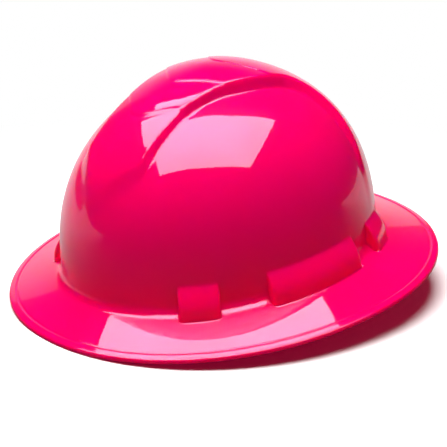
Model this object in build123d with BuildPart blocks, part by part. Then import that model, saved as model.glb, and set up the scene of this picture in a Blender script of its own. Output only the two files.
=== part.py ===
"""Full brim hard hat: moulded shell, four point suspension and ratchet headband.

Everything is drawn in the hat's own level frame in millimetres: X to the wearer's left, -Y to the
front, Z up from the plane of the brim's edge. At the end the hat is turned and lifted as it stands
on a table, on the front of its brim and on the ratchet housing, which hangs level from its pivots.
"""

import math
import os

from build123d import *

os.makedirs("parts", exist_ok=True)

# Brim
brim_length = 320.0
brim_width = 294.4
brim_wall = 2.4
edge_height = 2.4
edge_lip_width = 3.0
rim_band_width = 6.5
rim_band_step = 0.5
brim_outline_power = 2.1
brim_egg_share = 0.03
outline_point_count = 16

# Dome
dome_length = 243.8
dome_width = 204.0
dome_base_height = 15.6
side_dome_height = 146.0
dome_wall = 2.5
dome_upright_share = 0.4129
dome_shoulder_share = 0.8755
dome_shoulder_rise_share = 0.8246
dome_flat_share = 0.2703
junction_radius = 8.0
junction_bury = 0.3

# Raised crown panel with its steps
crown_height = 151.6
crown_top_width = 60.0
crown_turn_height = 35.0
crown_turn_radius = 118.0
crown_wall_angle = 45.0
crown_foot_height = 66.0
crown_nose_reach = 110.0
crown_nose_angle = 48.0
crown_nose_radius = 5.0
crown_flare_radius = 34.0
crown_flare_start = 40.0
chevron_step = 0.6
chevron_reaches = (64.0, 30.0, -8.0)
cutter_overrun = 40.0

# Blocks moulded round the foot of the dome
block_proud = 8.6
block_top_height = 34.0
block_shoulder_height = 28.5
block_edge_radius = 2.0
block_edge_bury = 0.1
key_block_width = 27.5
key_azimuths = (42.3, 130.2)
slot_block_length = 79.0
slot_block_place = 2.0
pocket_wall = 0.6

# Suspension keys
key_width = 19.4
key_clearance = 0.3
key_pocket_gap = 4.2
key_pocket_top = 30.0
key_tongue_top = 27.5
key_lead = 0.8
key_bridge_thickness = 3.0
key_bridge_bottom = 9.6
key_bridge_reach = 6.0
key_bridge_start = 2.0
key_leg_depth = 14.0
key_leg_thickness = 2.5
key_leg_top = 30.4
key_leg_width = 25.0
key_cheek_thickness = 2.2
key_cheek_top = 38.4
key_cheek_depth = 6.3
strap_bar_height = 34.6
strap_bar_depth = 10.2
strap_bar_radius = 1.8
peg_height = 24.0
peg_radius = 2.2
peg_head_radius = 3.6
peg_head_thickness = 1.4

# Accessory slots in the long side blocks
accessory_slot_length = 46.0
accessory_slot_gap = 4.7
accessory_slot_top = 30.0

# Crown straps and pad
strap_width = 19.0
strap_thickness = 1.3
strap_loop_clearance = 0.3
strap_crown_height = 112.0
strap_gap = 0.9
crown_pad_size = 58.0
crown_pad_thickness = 5.0
crown_pad_radius = 100.0
crown_pad_corner = 14.0

# Headband
band_radius = 78.0
band_centre = 18.0
band_front = 99.0
forehead_radius = 62.0
temple_angle = 96.0
band_end_angle = 50.0
band_thickness = 2.0
band_bottom = -4.0
band_top = 24.0
rail_bottom = 8.0
rail_start = -8.0
rail_ramp = 12.0
tab_width = 13.0
tab_thickness = 1.8
tab_gap = 0.6
tab_bottom = 10.0
tab_top = 35.4
tab_corner = 3.0
tab_hole_clearance = 0.3
tab_hole_pitch = 7.0
tab_hole_count = 3
foot_thickness = 4.0
foot_reach = 16.0
vent_slot_length = 13.0
vent_slot_height = 4.0
vent_slot_angle = 18.0
vent_slot_count = 7
vent_slot_rows = (3.0, 17.0)
bore_clearance = 0.1

# Pads
pad_clearance = 0.3
brow_pad_thickness = 4.2
brow_pad_bottom = -5.0
brow_pad_top = 25.4
brow_pad_angle = 64.0
brow_pad_edge = 1.4
nape_pad_thickness = 3.6
nape_pad_height = 31.0
nape_pad_angle = 25.0
nape_pad_edge = 1.4

# Ratchet
hat_lean = 6.24
arm_height = 22.0
arm_thickness = 1.8
arm_layer_radius = 81.4
arm_layer_gap = 0.4
arm_front_angle = 86.0
arm_tip_length = 4.6
slide_clearance = 0.2
travel = 30.0
travel_margin = 0.8
pinion_teeth = 8
pinion_pitch_radius = 5.0
tooth_addendum = 0.9
tooth_dedendum = 1.15
tooth_root_clearance = 0.15
tooth_backlash = 0.5
tooth_slope = 24.0
tooth_tip_width = 1.0
tooth_root_width = 2.1
gear_gap = 0.3
journal_radius = 3.0
shaft_radius = 4.0
shaft_clearance = 0.15
drive_square = 5.0
drive_clearance = 0.1
drive_length = 6.4
housing_height = 39.4
housing_angle = 28.0
housing_wall = 2.5
plate_thickness = 1.6
plate_margin = 1.0
plate_peg_radius = 1.4
plate_peg_length = 2.0
plate_peg_height = 15.4
plate_peg_angle = 20.0
boss_radius = 14.6
boss_rise = 3.3
detent_radius = 11.6
detent_depth = 2.8
detent_count = 24
detent_notch_radius = 0.8
pawl_thickness = 1.6
pawl_tip_gap = 0.3
pawl_arm_width = 2.0
pawl_arm_angle = 70.0
pawl_hub_radius = 5.2
knob_radius = 18.0
knob_length = 11.6
knob_gap = 0.6
knob_skirt_depth = 2.8
knob_skirt_gap = 0.7
knob_hub_radius = 6.6
knob_web = 3.6
knob_edge_radius = 1.2
knob_grip_thickness = 1.5
knob_grip_margin = 1.0
flute_count = 16
flute_radius = 1.9
flute_depth = 0.9
screw_radius = 1.4
screw_length = 9.0
screw_head_radius = 3.1
screw_head_height = 1.9
cap_radius = 8.0
cap_thickness = 1.4
fit_gap = 0.1

# Sleeves that carry the arms, and their pivots
sleeve_wall = 1.1
sleeve_mouth_angle = 60.0
sleeve_front_angle = 103.0
sleeve_margin = 1.4
ear_angle = 8.0
ear_thickness = 1.8
ear_rise = 7.1
pivot_height = 15.5
pivot_radius = 2.5
pivot_head_radius = 4.8
pivot_head_thickness = 1.6
pivot_head_gap = 0.25
stop_width = 3.4
stop_rise = 2.5
stop_height = 4.0
stop_gap = 0.3
stop_overhang = 0.8
quarter_turn = 90.0

# Sizes worked out from those above
half_length = brim_length / 2
half_width = brim_width / 2
dome_radius = dome_width / 2
dome_stretch = dome_length / dome_width
brim_slope = (dome_base_height - edge_height) / (half_width - dome_radius)
brim_fall = (dome_base_height - edge_height) / (half_length - dome_length / 2)
inner_width = dome_width - 2 * dome_wall
inner_length = dome_length - 2 * dome_wall
block_depth = 2 * (block_proud - block_edge_bury)
ring_radius = strap_bar_radius + strap_loop_clearance + strap_thickness / 2
peg_length = tab_gap + tab_thickness + pad_clearance
forehead_centre = forehead_radius - band_front
centre_distance = band_centre - forehead_centre
radius_step = band_radius - forehead_radius
temple_cosine = math.cos(math.radians(temple_angle))
temple_sine = math.sin(math.radians(temple_angle))
temple_shift = (centre_distance**2 - radius_step**2) / (2 * radius_step + 2 * centre_distance * temple_cosine)
temple_radius = band_radius + temple_shift
temple_centre = band_centre - temple_shift * temple_cosine
forehead_angle = math.degrees(math.atan2(temple_centre - forehead_centre, temple_shift * temple_sine))
outer_layer_radius = arm_layer_radius + arm_thickness + arm_layer_gap
cavity_inner = arm_layer_radius - slide_clearance
cavity_outer = outer_layer_radius + arm_thickness + slide_clearance
cavity_half = arm_height / 2 + slide_clearance
housing_outer = cavity_outer + housing_wall
boss_top = housing_outer + boss_rise
recess_floor = boss_top - detent_depth
plate_outer = cavity_inner - slide_clearance
plate_inner = plate_outer - plate_thickness
sleeve_half = cavity_half + sleeve_margin
pinion_tip = pinion_pitch_radius + tooth_addendum
pinion_root = pinion_pitch_radius - tooth_dedendum - tooth_root_clearance
tooth_pitch = 2 * math.pi * pinion_pitch_radius / pinion_teeth
knob_floor = boss_top + knob_gap
knob_back = knob_floor - knob_skirt_depth
knob_face = knob_back + knob_length
band_outer = band_radius + band_thickness / 2
band_inner = band_radius - band_thickness / 2
lean_sine = math.sin(math.radians(hat_lean))
lean_cosine = math.cos(math.radians(hat_lean))
pivot_rise = (half_length + band_centre) * lean_sine + pivot_height * lean_cosine - housing_height / 2


def radians(angle):
    """An angle in degrees as radians."""
    return math.radians(angle)


def power_curve(value, power):
    """The value's size raised to a power, with its sign kept."""
    return math.copysign(abs(value) ** power, value)


def brim_sketch(height, inset):
    """The brim's egg-shaped outline drawn in by an inset, as a face at a height."""
    length = half_length - inset
    width = half_width - inset
    points = []
    for index in range(outline_point_count):
        turn = 2 * math.pi * index / outline_point_count
        y = -power_curve(math.cos(turn), 2 / brim_outline_power)
        x = power_curve(math.sin(turn), 2 / brim_outline_power) * (1 + brim_egg_share * y)
        points.append((width * x, length * y))
    with BuildSketch(Plane.XY.offset(height)) as outline:
        with BuildLine():
            Spline(*points, periodic=True)
        make_face()
    return outline.sketch


def dome_sketch(height, inset):
    """The oval of the dome's foot drawn in by an inset, as a face at a height."""
    with BuildSketch(Plane.XY.offset(height)) as outline:
        Ellipse(dome_radius - inset, dome_length / 2 - inset)
    return outline.sketch


def dome(width, length, top, foot):
    """A solid dome: upright at its foot, level at its top and drawn out along Y."""
    radius = width / 2
    rise = top - dome_base_height
    shoulder = (radius * dome_shoulder_share, dome_base_height + rise * dome_shoulder_rise_share)
    with BuildPart() as body:
        with BuildSketch(Plane.XZ):
            with BuildLine():
                Bezier(
                    (radius, dome_base_height),
                    (radius, dome_base_height + rise * dome_upright_share),
                    shoulder,
                    (radius * dome_flat_share, top),
                    (0, top),
                )
                Polyline((0, top), (0, foot), (radius, foot), (radius, dome_base_height))
            make_face()
        revolve(axis=Axis.Z)
        scale(by=(1, length / width, 1))
    return body.part


def nose_prism(reach, angle, radius):
    """A tall wedge seen from above, its rounded nose a reach ahead of the dome's axis."""
    side = half_width + cutter_overrun
    back = half_length + cutter_overrun
    shoulder = side / math.tan(radians(angle)) - reach
    with BuildPart() as wedge:
        with BuildSketch(Plane.XY.offset(crown_foot_height)) as plan:
            Polygon((0, -reach), (side, shoulder), (side, back), (-side, back), (-side, shoulder), align=None)
            fillet(plan.vertices().sort_by(Axis.Y)[0], radius)
        extrude(amount=crown_height)
    return wedge.part


def crown_cutter(top_width):
    """The space of the raised panel: a slab with sloping sides turned about X, flared at the back."""
    half = top_width / 2
    outer = crown_turn_radius + cutter_overrun
    inner = crown_turn_radius - cutter_overrun
    spread = cutter_overrun / math.tan(radians(crown_wall_angle))
    high = crown_turn_height + outer
    low = crown_turn_height + inner
    shift = top_width / 2 - crown_top_width / 2
    start = crown_flare_start - shift
    side = half_width + cutter_overrun
    with BuildPart() as body:
        with BuildSketch(Plane.XZ):
            Polygon(
                (half - spread * half / crown_top_width, high),
                (half + spread, low),
                (-half - spread, low),
                (-half + spread * half / crown_top_width, high),
                align=None,
            )
        revolve(axis=Axis((0, 0, crown_turn_height), (1, 0, 0)))
        with BuildSketch(Plane.XY.offset(crown_foot_height)):
            for hand in (1, -1):
                with BuildLine():
                    knee = (hand * (half + crown_flare_radius), start + crown_flare_radius)
                    RadiusArc((hand * half, start), knee, hand * crown_flare_radius)
                    Polyline(
                        knee,
                        (hand * side, start + crown_flare_radius),
                        (hand * side, half_length + cutter_overrun),
                        (0, half_length + cutter_overrun),
                        (0, start),
                        (hand * half, start),
                    )
                make_face()
        extrude(amount=crown_height)
    return body.part


def crown_layer(inset, top, reach):
    """One layer of the raised panel: a dome kept only inside the panel and behind its nose."""
    with BuildPart() as layer:
        add(dome(dome_width - 2 * inset, dome_length - 2 * inset, top - inset, 0))
        add(crown_cutter(crown_top_width - 2 * inset), mode=Mode.INTERSECT)
        add(nose_prism(reach - inset, crown_nose_angle, crown_nose_radius), mode=Mode.INTERSECT)
    return layer.part


def wall_plane(azimuth):
    """The plane on the dome's foot at an azimuth from the front: x along the wall, y straight out."""
    turn = math.atan(math.tan(radians(azimuth)) * dome_stretch)
    if abs(azimuth) > 90:
        turn = turn + math.copysign(math.pi, azimuth)
    x = dome_radius * math.sin(turn)
    y = -dome_length / 2 * math.cos(turn)
    out = Vector(x / dome_radius**2, y / (dome_length / 2) ** 2, 0).normalized()
    return Plane(origin=(x, y, 0), x_dir=(out.Y, -out.X, 0), z_dir=(0, 0, 1))


key_planes = {
    "front_left": wall_plane(key_azimuths[0]),
    "front_right": wall_plane(-key_azimuths[0]),
    "rear_left": wall_plane(key_azimuths[1]),
    "rear_right": wall_plane(-key_azimuths[1]),
}
slot_planes = [
    Plane(origin=(hand * dome_radius, -slot_block_place, 0), x_dir=(0, -hand, 0), z_dir=(0, 0, 1))
    for hand in (1, -1)
]


def sector(inner, outer, first, last, bottom, top):
    """A curved block between two radii, two angles from the rear and two heights."""
    with BuildPart() as block:
        with BuildSketch(Plane.XY.offset(bottom)):
            with BuildLine():
                outer_arc = CenterArc((0, 0), outer, quarter_turn - last, last - first)
                inner_arc = CenterArc((0, 0), inner, quarter_turn - last, last - first)
                Line(outer_arc @ 0, inner_arc @ 0)
                Line(outer_arc @ 1, inner_arc @ 1)
            make_face()
        extrude(amount=top - bottom)
    return block.part


def key(plane, strap_plane):
    """A suspension key: tongue for the pocket, bridge under the wall, leg, cheeks, strap bar and peg."""
    bridge_top = key_bridge_bottom + key_bridge_thickness
    tongue_depth = key_pocket_gap - 2 * key_clearance
    tongue_middle = pocket_wall + key_pocket_gap / 2
    with BuildPart() as body:
        with BuildSketch(plane.offset(key_bridge_bottom)):
            with Locations((0, tongue_middle)):
                Rectangle(key_width, tongue_depth)
        extrude(amount=key_tongue_top - key_bridge_bottom)
        chamfer(body.edges().group_by(Axis.Z)[-1], key_lead)
        with BuildSketch(plane.offset(key_bridge_bottom)):
            with Locations((0, (tongue_middle - key_bridge_reach) / 2)):
                Rectangle(key_width, tongue_middle + key_bridge_reach)
        extrude(amount=key_bridge_thickness)
        with BuildSketch(strap_plane.offset(key_bridge_bottom)):
            with Locations((0, -(key_leg_depth + key_bridge_start) / 2)):
                Rectangle(key_leg_width, key_leg_depth - key_bridge_start)
        extrude(amount=key_bridge_thickness)
        with BuildSketch(strap_plane.offset(key_bridge_bottom)):
            with Locations((0, key_leg_thickness / 2 - key_leg_depth)):
                Rectangle(key_leg_width, key_leg_thickness)
        extrude(amount=key_leg_top - key_bridge_bottom)
        with BuildSketch(strap_plane.offset(bridge_top - key_bridge_thickness)):
            with Locations((0, key_cheek_depth / 2 - key_leg_depth)):
                with GridLocations(key_leg_width - key_cheek_thickness, key_leg_width, 2, 1):
                    Rectangle(key_cheek_thickness, key_cheek_depth)
        extrude(amount=key_cheek_top - key_bridge_bottom)
        across = Plane(
            origin=strap_plane.from_local_coords((-key_leg_width / 2, -strap_bar_depth, strap_bar_height)),
            z_dir=strap_plane.x_dir,
        )
        with BuildSketch(across):
            Circle(strap_bar_radius)
        extrude(amount=key_leg_width)
        inward = Plane(
            origin=strap_plane.from_local_coords((0, -key_leg_depth + key_leg_thickness / 2, peg_height)),
            z_dir=-strap_plane.y_dir,
        )
        with BuildSketch(inward):
            Circle(peg_radius)
        extrude(amount=peg_length + key_leg_thickness / 2)
        with BuildSketch(inward.offset(peg_length + key_leg_thickness / 2)):
            Circle(peg_head_radius)
        extrude(amount=peg_head_thickness)
    return body.part


def band_line(out):
    """The headband's centre line moved out by a distance: back, temples and forehead."""
    CenterArc((0, band_centre), band_radius + out, quarter_turn - temple_angle, temple_angle - band_end_angle)
    CenterArc(
        (-temple_shift * math.sin(radians(temple_angle)), temple_centre),
        temple_radius + out,
        -forehead_angle,
        forehead_angle + quarter_turn - temple_angle,
    )
    CenterArc(
        (0, forehead_centre),
        forehead_radius + out,
        forehead_angle - 2 * quarter_turn,
        2 * quarter_turn - 2 * forehead_angle,
    )
    CenterArc(
        (temple_shift * math.sin(radians(temple_angle)), temple_centre),
        temple_radius + out,
        quarter_turn + temple_angle,
        forehead_angle + quarter_turn - temple_angle,
    )
    CenterArc(
        (0, band_centre),
        band_radius + out,
        quarter_turn + band_end_angle,
        temple_angle - band_end_angle,
    )


def band_face(inner, outer, bottom):
    """The headband in plan between two offsets from its centre line, as a face at a height."""
    with BuildSketch(Plane.XY.offset(bottom)) as plan:
        with BuildLine():
            band_line(outer)
            band_line(inner)
            for hand in (1, -1):
                angle = radians(band_end_angle)
                Line(
                    (
                        hand * (band_radius + inner) * math.sin(angle),
                        band_centre + (band_radius + inner) * math.cos(angle),
                    ),
                    (
                        hand * (band_radius + outer) * math.sin(angle),
                        band_centre + (band_radius + outer) * math.cos(angle),
                    ),
                )
        make_face()
    return plan.sketch


def strap_frame(near, far):
    """The frame at a key with y pointing outward along the strap that joins two keys."""
    out = (near.origin - far.origin).normalized()
    return Plane(origin=near.origin, x_dir=(out.Y, -out.X, 0), z_dir=(0, 0, 1))


def strap(front, rear, rise):
    """A crown strap: two quarter ovals over the head and a loop round a key's bar at each end."""
    along = (rear.origin - front.origin).normalized()
    span = (rear.origin - front.origin).length
    crossing = span * front.origin.X / (front.origin.X - rear.origin.X)
    start = strap_bar_depth + ring_radius
    top = strap_crown_height + rise - strap_thickness / 2 - strap_bar_height
    half = strap_thickness / 2
    middle = (crossing, strap_bar_height)
    with BuildPart() as body:
        with BuildSketch(Plane(origin=front.origin, x_dir=along, z_dir=(along.Y, -along.X, 0))):
            with BuildLine():
                for out in (-half, half):
                    EllipticalCenterArc(
                        middle,
                        crossing - start + out,
                        top + out,
                        quarter_turn,
                        arc_size=quarter_turn,
                    )
                    EllipticalCenterArc(
                        middle,
                        span - start - crossing + out,
                        top + out,
                        0,
                        arc_size=quarter_turn,
                    )
                Line((start - half, strap_bar_height), (start + half, strap_bar_height))
                Line((span - start - half, strap_bar_height), (span - start + half, strap_bar_height))
            make_face()
            with Locations((strap_bar_depth, strap_bar_height), (span - strap_bar_depth, strap_bar_height)):
                Circle(ring_radius + half)
                Circle(ring_radius - half, mode=Mode.SUBTRACT)
        extrude(amount=strap_width / 2, both=True)
    return body.part


def rear_plane(reach):
    """An upright plane facing the back at a distance behind the ratchet's centre."""
    return Plane(origin=(0, reach, 0), x_dir=(-1, 0, 0), z_dir=(0, 1, 0))


def tooth_gap(height):
    """The width of the gap between two rack teeth at a height beyond the pitch line."""
    return tooth_pitch / 2 + tooth_backlash - 2 * height * math.tan(radians(tooth_slope))


def ratchet_arm(layer, hand, toothed):
    """One arm of the headband: a curved strip with a slot toothed on its upper or lower edge."""
    middle = layer + arm_thickness / 2
    half_slot = math.degrees((travel + pinion_tip + travel_margin) / middle)
    tip = half_slot + math.degrees(arm_tip_length / middle)
    tooth_step = math.degrees(tooth_pitch / middle)
    steps = int(half_slot / tooth_step)
    tip_line = pinion_pitch_radius - tooth_addendum
    root_line = pinion_pitch_radius + tooth_dedendum
    plain_line = pinion_tip + tooth_backlash
    low, high = (-plain_line, tip_line) if toothed > 0 else (-tip_line, plain_line)
    with BuildPart() as arm:
        add(sector(layer, layer + arm_thickness, -tip, arm_front_angle, -arm_height / 2, arm_height / 2))
        add(
            sector(
                layer - travel_margin,
                layer + arm_thickness + travel_margin,
                -half_slot,
                half_slot,
                low,
                high,
            ),
            mode=Mode.SUBTRACT,
        )
        for step in range(-steps, steps + 1):
            turn = radians(step * tooth_step)
            out = Vector(math.sin(turn), math.cos(turn), 0)
            gap_plane = Plane(origin=out * (layer - travel_margin), x_dir=(-out.Y, out.X, 0), z_dir=out)
            with BuildSketch(gap_plane):
                Polygon(
                    (-tooth_gap(-tooth_addendum) / 2, toothed * tip_line),
                    (tooth_gap(-tooth_addendum) / 2, toothed * tip_line),
                    (tooth_gap(tooth_dedendum) / 2, toothed * root_line),
                    (-tooth_gap(tooth_dedendum) / 2, toothed * root_line),
                    align=None,
                )
            extrude(amount=arm_thickness + 2 * travel_margin, mode=Mode.SUBTRACT)
    return arm.part if hand > 0 else mirror(arm.part, about=Plane.YZ)


def nape_sleeve(layer, hand):
    """The tunnel an arm slides in, with an ear and a boss for the pivot to the headband."""
    inner = layer - slide_clearance
    outer = layer + arm_thickness + slide_clearance
    skin = outer + sleeve_wall
    with BuildPart() as body:
        add(
            sector(
                inner - sleeve_wall,
                skin,
                sleeve_mouth_angle,
                sleeve_front_angle,
                -sleeve_half,
                sleeve_half,
            )
        )
        add(
            sector(
                skin - ear_thickness,
                skin,
                quarter_turn - ear_angle,
                quarter_turn + ear_angle,
                cavity_half + slide_clearance,
                pivot_rise + ear_rise,
            )
        )
        with BuildSketch(Plane.YZ.offset(band_outer + stop_gap)):
            with Locations((0, pivot_rise)):
                Circle(pivot_head_radius)
        extrude(amount=skin - ear_thickness / 2 - band_outer - stop_gap)
        add(
            sector(
                inner,
                outer,
                sleeve_mouth_angle - ear_angle,
                sleeve_front_angle + ear_angle,
                -cavity_half,
                cavity_half,
            ),
            mode=Mode.SUBTRACT,
        )
        with BuildSketch(Plane.YZ.offset(band_inner)):
            with Locations((0, pivot_rise)):
                Circle(pivot_radius + bore_clearance)
        extrude(amount=skin + stop_gap - band_inner, mode=Mode.SUBTRACT)
    return body.part if hand > 0 else mirror(body.part, about=Plane.YZ)


def pivot_pin(layer, hand):
    """The pin that joins a sleeve's ear to the headband, with a head at each end."""
    skin = layer + arm_thickness + slide_clearance + sleeve_wall
    inside = band_inner - pivot_head_gap
    centre = (band_centre, pivot_height)
    with BuildPart() as pin:
        with BuildSketch(Plane.YZ.offset(inside)):
            with Locations(centre):
                Circle(pivot_radius)
        extrude(amount=skin + pivot_head_gap - inside)
        with BuildSketch(Plane.YZ.offset(skin + pivot_head_gap)):
            with Locations(centre):
                Circle(pivot_head_radius)
        extrude(amount=pivot_head_thickness)
        with BuildSketch(Plane.YZ.offset(inside)):
            with Locations(centre):
                Circle(pivot_head_radius)
        extrude(amount=-pivot_head_thickness)
        chamfer(pin.edges().filter_by(GeomType.CIRCLE).sort_by(Axis.X)[-1], pivot_head_gap)
    return pin.part if hand > 0 else mirror(pin.part, about=Plane.YZ)


# The hat leans on the front of its brim; the ratchet hangs level from the pivots and stands on its housing
stance = Location((0, edge_height * lean_sine / 2, half_length * lean_sine)) * Location(
    (0, 0, 0),
    (hat_lean, 0, 0),
)
pivot_frame = Location((0, band_centre, pivot_height)) * Location((0, 0, 0), (-hat_lean, 0, 0))
nape_spot = stance * pivot_frame * Location((0, 0, -pivot_rise))


def place(piece, name, spot):
    """Writes a piece, moved to its spot, under its name."""
    placed = piece.moved(spot)
    placed.label = name
    export_step(placed, f"parts/{name}.step")
    return placed


# Blocks round the foot of the dome: a ring with a sloping shoulder, kept only at the six places
with BuildPart() as blocks:
    with BuildSketch(Plane.XZ):
        with BuildLine():
            Polyline(
                (dome_radius, block_top_height),
                (dome_radius - key_block_width, block_top_height),
                (dome_radius - key_block_width, edge_height),
                (dome_radius + block_proud, edge_height),
                (dome_radius + block_proud, block_shoulder_height),
            )
            Spline(
                (dome_radius + block_proud, block_shoulder_height),
                (dome_radius, block_top_height),
                tangents=[(0, 1), (-1, 0)],
            )
        make_face()
    revolve(axis=Axis.Z)
    scale(by=(1, dome_stretch, 1))
    with BuildSketch() as places:
        for plane in key_planes.values():
            with Locations(plane):
                RectangleRounded(key_block_width, block_depth, block_edge_radius)
        for plane in slot_planes:
            with Locations(plane):
                RectangleRounded(slot_block_length, block_depth, block_edge_radius)
    extrude(amount=block_top_height, mode=Mode.INTERSECT)

# Shell: domes, brim, junction, blocks and crown panel, hollowed to an even wall
with BuildPart() as brim_top:
    loft([brim_sketch(edge_height, 0), dome_sketch(dome_base_height, 0)])
    extrude(brim_sketch(0, 0), amount=edge_height + rim_band_step)
    band_rise = edge_height + brim_slope * rim_band_width + rim_band_step
    loft([brim_sketch(edge_height + rim_band_step, 0), brim_sketch(band_rise, rim_band_width)])

with BuildPart() as junction:
    with BuildSketch(Plane.XZ):
        foot_height = dome_base_height - brim_fall * dome_stretch * junction_radius - junction_bury
        with BuildLine():
            inner_end = (dome_radius - junction_bury, foot_height + junction_radius + junction_bury)
            outer_end = (dome_radius + junction_radius, foot_height)
            TangentArc(inner_end, outer_end, tangent=(0, -1))
            Polyline(
                inner_end,
                (dome_radius - dome_wall, foot_height + junction_radius + junction_bury),
                (dome_radius - dome_wall, foot_height),
                outer_end,
            )
        make_face()
    revolve(axis=Axis.Z)
    scale(by=(1, dome_stretch, 1))

with BuildPart() as hollow:
    lip_height = edge_height + brim_slope * edge_lip_width - brim_wall
    throat_height = dome_base_height + brim_slope * dome_wall - brim_wall
    add(dome(inner_width, inner_length, side_dome_height - dome_wall, 0))
    add(crown_layer(dome_wall, crown_height, crown_nose_reach))
    extrude(brim_sketch(0, edge_lip_width), amount=lip_height)
    loft([brim_sketch(lip_height, edge_lip_width), dome_sketch(throat_height, dome_wall)])

with BuildPart() as shell:
    add(dome(dome_width, dome_length, side_dome_height, dome_base_height - brim_wall))
    add(brim_top.part)
    add(junction.part)
    add(blocks.part)
    add(crown_layer(0, crown_height, crown_nose_reach))
    for index, reach in enumerate(chevron_reaches):
        add(crown_layer(0, crown_height + chevron_step * (index + 1), reach))
    add(hollow.part, mode=Mode.SUBTRACT)
    for plane in key_planes.values():
        with BuildSketch(plane):
            with Locations((0, pocket_wall + key_pocket_gap / 2)):
                Rectangle(key_width + 2 * key_clearance, key_pocket_gap)
        extrude(amount=key_pocket_top, mode=Mode.SUBTRACT)
    for plane in slot_planes:
        with BuildSketch(plane):
            with Locations((0, pocket_wall + accessory_slot_gap / 2)):
                Rectangle(accessory_slot_length, accessory_slot_gap)
        extrude(amount=accessory_slot_top, mode=Mode.SUBTRACT)
place(shell.part, "shell", stance)

# Suspension keys, one in each pocket of the shell
front_left, front_right = key_planes["front_left"], key_planes["front_right"]
rear_left, rear_right = key_planes["rear_left"], key_planes["rear_right"]
strap_frames = {
    "front_left": strap_frame(front_left, rear_right),
    "front_right": strap_frame(front_right, rear_left),
    "rear_left": strap_frame(rear_left, front_right),
    "rear_right": strap_frame(rear_right, front_left),
}
for corner, frame in strap_frames.items():
    place(key(key_planes[corner], frame), f"key_{corner}", stance)

# Crown straps, crossing over the crown pad
place(strap(front_left, rear_right, 0), "crown_strap_lower", stance)
place(strap(front_right, rear_left, strap_thickness + strap_gap), "crown_strap_upper", stance)

# Crown pad: a domed square cushion under the crossing
crossing_share = front_left.origin.X / (front_left.origin.X - rear_right.origin.X)
crossing_y = front_left.origin.Y + (rear_right.origin.Y - front_left.origin.Y) * crossing_share
pad_top = strap_crown_height - strap_thickness - pad_clearance
with BuildPart() as crown_pad:
    with Locations((0, crossing_y, pad_top - crown_pad_radius)):
        Sphere(crown_pad_radius)
        Sphere(crown_pad_radius - crown_pad_thickness, mode=Mode.SUBTRACT)
    with BuildSketch(Plane.XY.offset(pad_top - crown_pad_size / 2)):
        with Locations((0, crossing_y)):
            RectangleRounded(crown_pad_size, crown_pad_size, crown_pad_corner)
    extrude(amount=crown_pad_size, mode=Mode.INTERSECT)
place(crown_pad.part, "crown_pad", stance)

# Headband: a curved strip with hanging tabs, vents, pivot bores and stops
with BuildPart() as headband:
    extrude(band_face(-band_thickness / 2, band_thickness / 2, band_bottom), amount=band_top - band_bottom)
    with BuildSketch(Plane.YZ):
        Polygon(
            (-band_front - foot_reach, band_bottom),
            (rail_start, band_bottom),
            (rail_start + rail_ramp, rail_bottom),
            (band_front, rail_bottom),
            (band_front, band_top),
            (-band_front - foot_reach, band_top),
            align=None,
        )
    extrude(amount=half_width, both=True, mode=Mode.INTERSECT)
    for frame in strap_frames.values():
        with BuildSketch(frame.offset(tab_bottom)):
            with Locations((0, -key_leg_depth - tab_gap - foot_reach / 2)):
                Rectangle(tab_width, foot_reach)
        extrude(amount=foot_thickness)
    with BuildSketch(Plane.XY.offset(tab_bottom - band_thickness)):
        with BuildLine():
            band_line(-band_thickness / 2)
            end_turn = radians(band_end_angle)
            end_x = band_inner * math.sin(end_turn)
            end_y = band_centre + band_inner * math.cos(end_turn)
            Line((-end_x, end_y), (end_x, end_y))
        make_face()
    extrude(amount=foot_thickness + 2 * band_thickness, mode=Mode.SUBTRACT)
    for frame in strap_frames.values():
        face = Plane(
            origin=frame.from_local_coords((0, -key_leg_depth - tab_gap, 0)),
            x_dir=frame.x_dir,
            z_dir=-frame.y_dir,
        )
        with BuildSketch(face):
            with Locations((0, (tab_bottom + tab_top) / 2)):
                RectangleRounded(tab_width, tab_top - tab_bottom, tab_corner)
            with Locations((0, peg_height)):
                with GridLocations(tab_hole_pitch, tab_hole_pitch, 1, tab_hole_count):
                    Circle(peg_radius + tab_hole_clearance, mode=Mode.SUBTRACT)
        extrude(amount=tab_thickness)
    for row in vent_slot_rows:
        span = vent_slot_angle * (vent_slot_count - 1)
        for index in range(vent_slot_count):
            turn = radians(vent_slot_angle * index - span / 2)
            out = Vector(math.sin(turn), -math.cos(turn), 0)
            vent = Plane(
                origin=Vector(0, forehead_centre, row) + out * forehead_radius,
                x_dir=(-out.Y, out.X, 0),
                z_dir=out,
            )
            with BuildSketch(vent):
                SlotOverall(vent_slot_length, vent_slot_height)
            extrude(amount=band_thickness, both=True, mode=Mode.SUBTRACT)
    for hand, layer in ((1, outer_layer_radius), (-1, arm_layer_radius)):
        skin = layer + arm_thickness + slide_clearance + sleeve_wall
        ear_front = skin * math.cos(radians(quarter_turn + ear_angle))
        with BuildSketch(Plane(pivot_frame).offset(stop_rise)):
            with Locations(
                (hand * (band_radius + skin + stop_overhang) / 2, ear_front - stop_gap - stop_width / 2),
            ):
                Rectangle(skin + stop_overhang - band_radius, stop_width)
        extrude(amount=stop_height)
    with BuildSketch(Plane.YZ):
        with Locations((band_centre, pivot_height)):
            Circle(pivot_radius + bore_clearance)
    extrude(amount=half_width, both=True, mode=Mode.SUBTRACT)
place(headband.part, "headband", stance)

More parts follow.
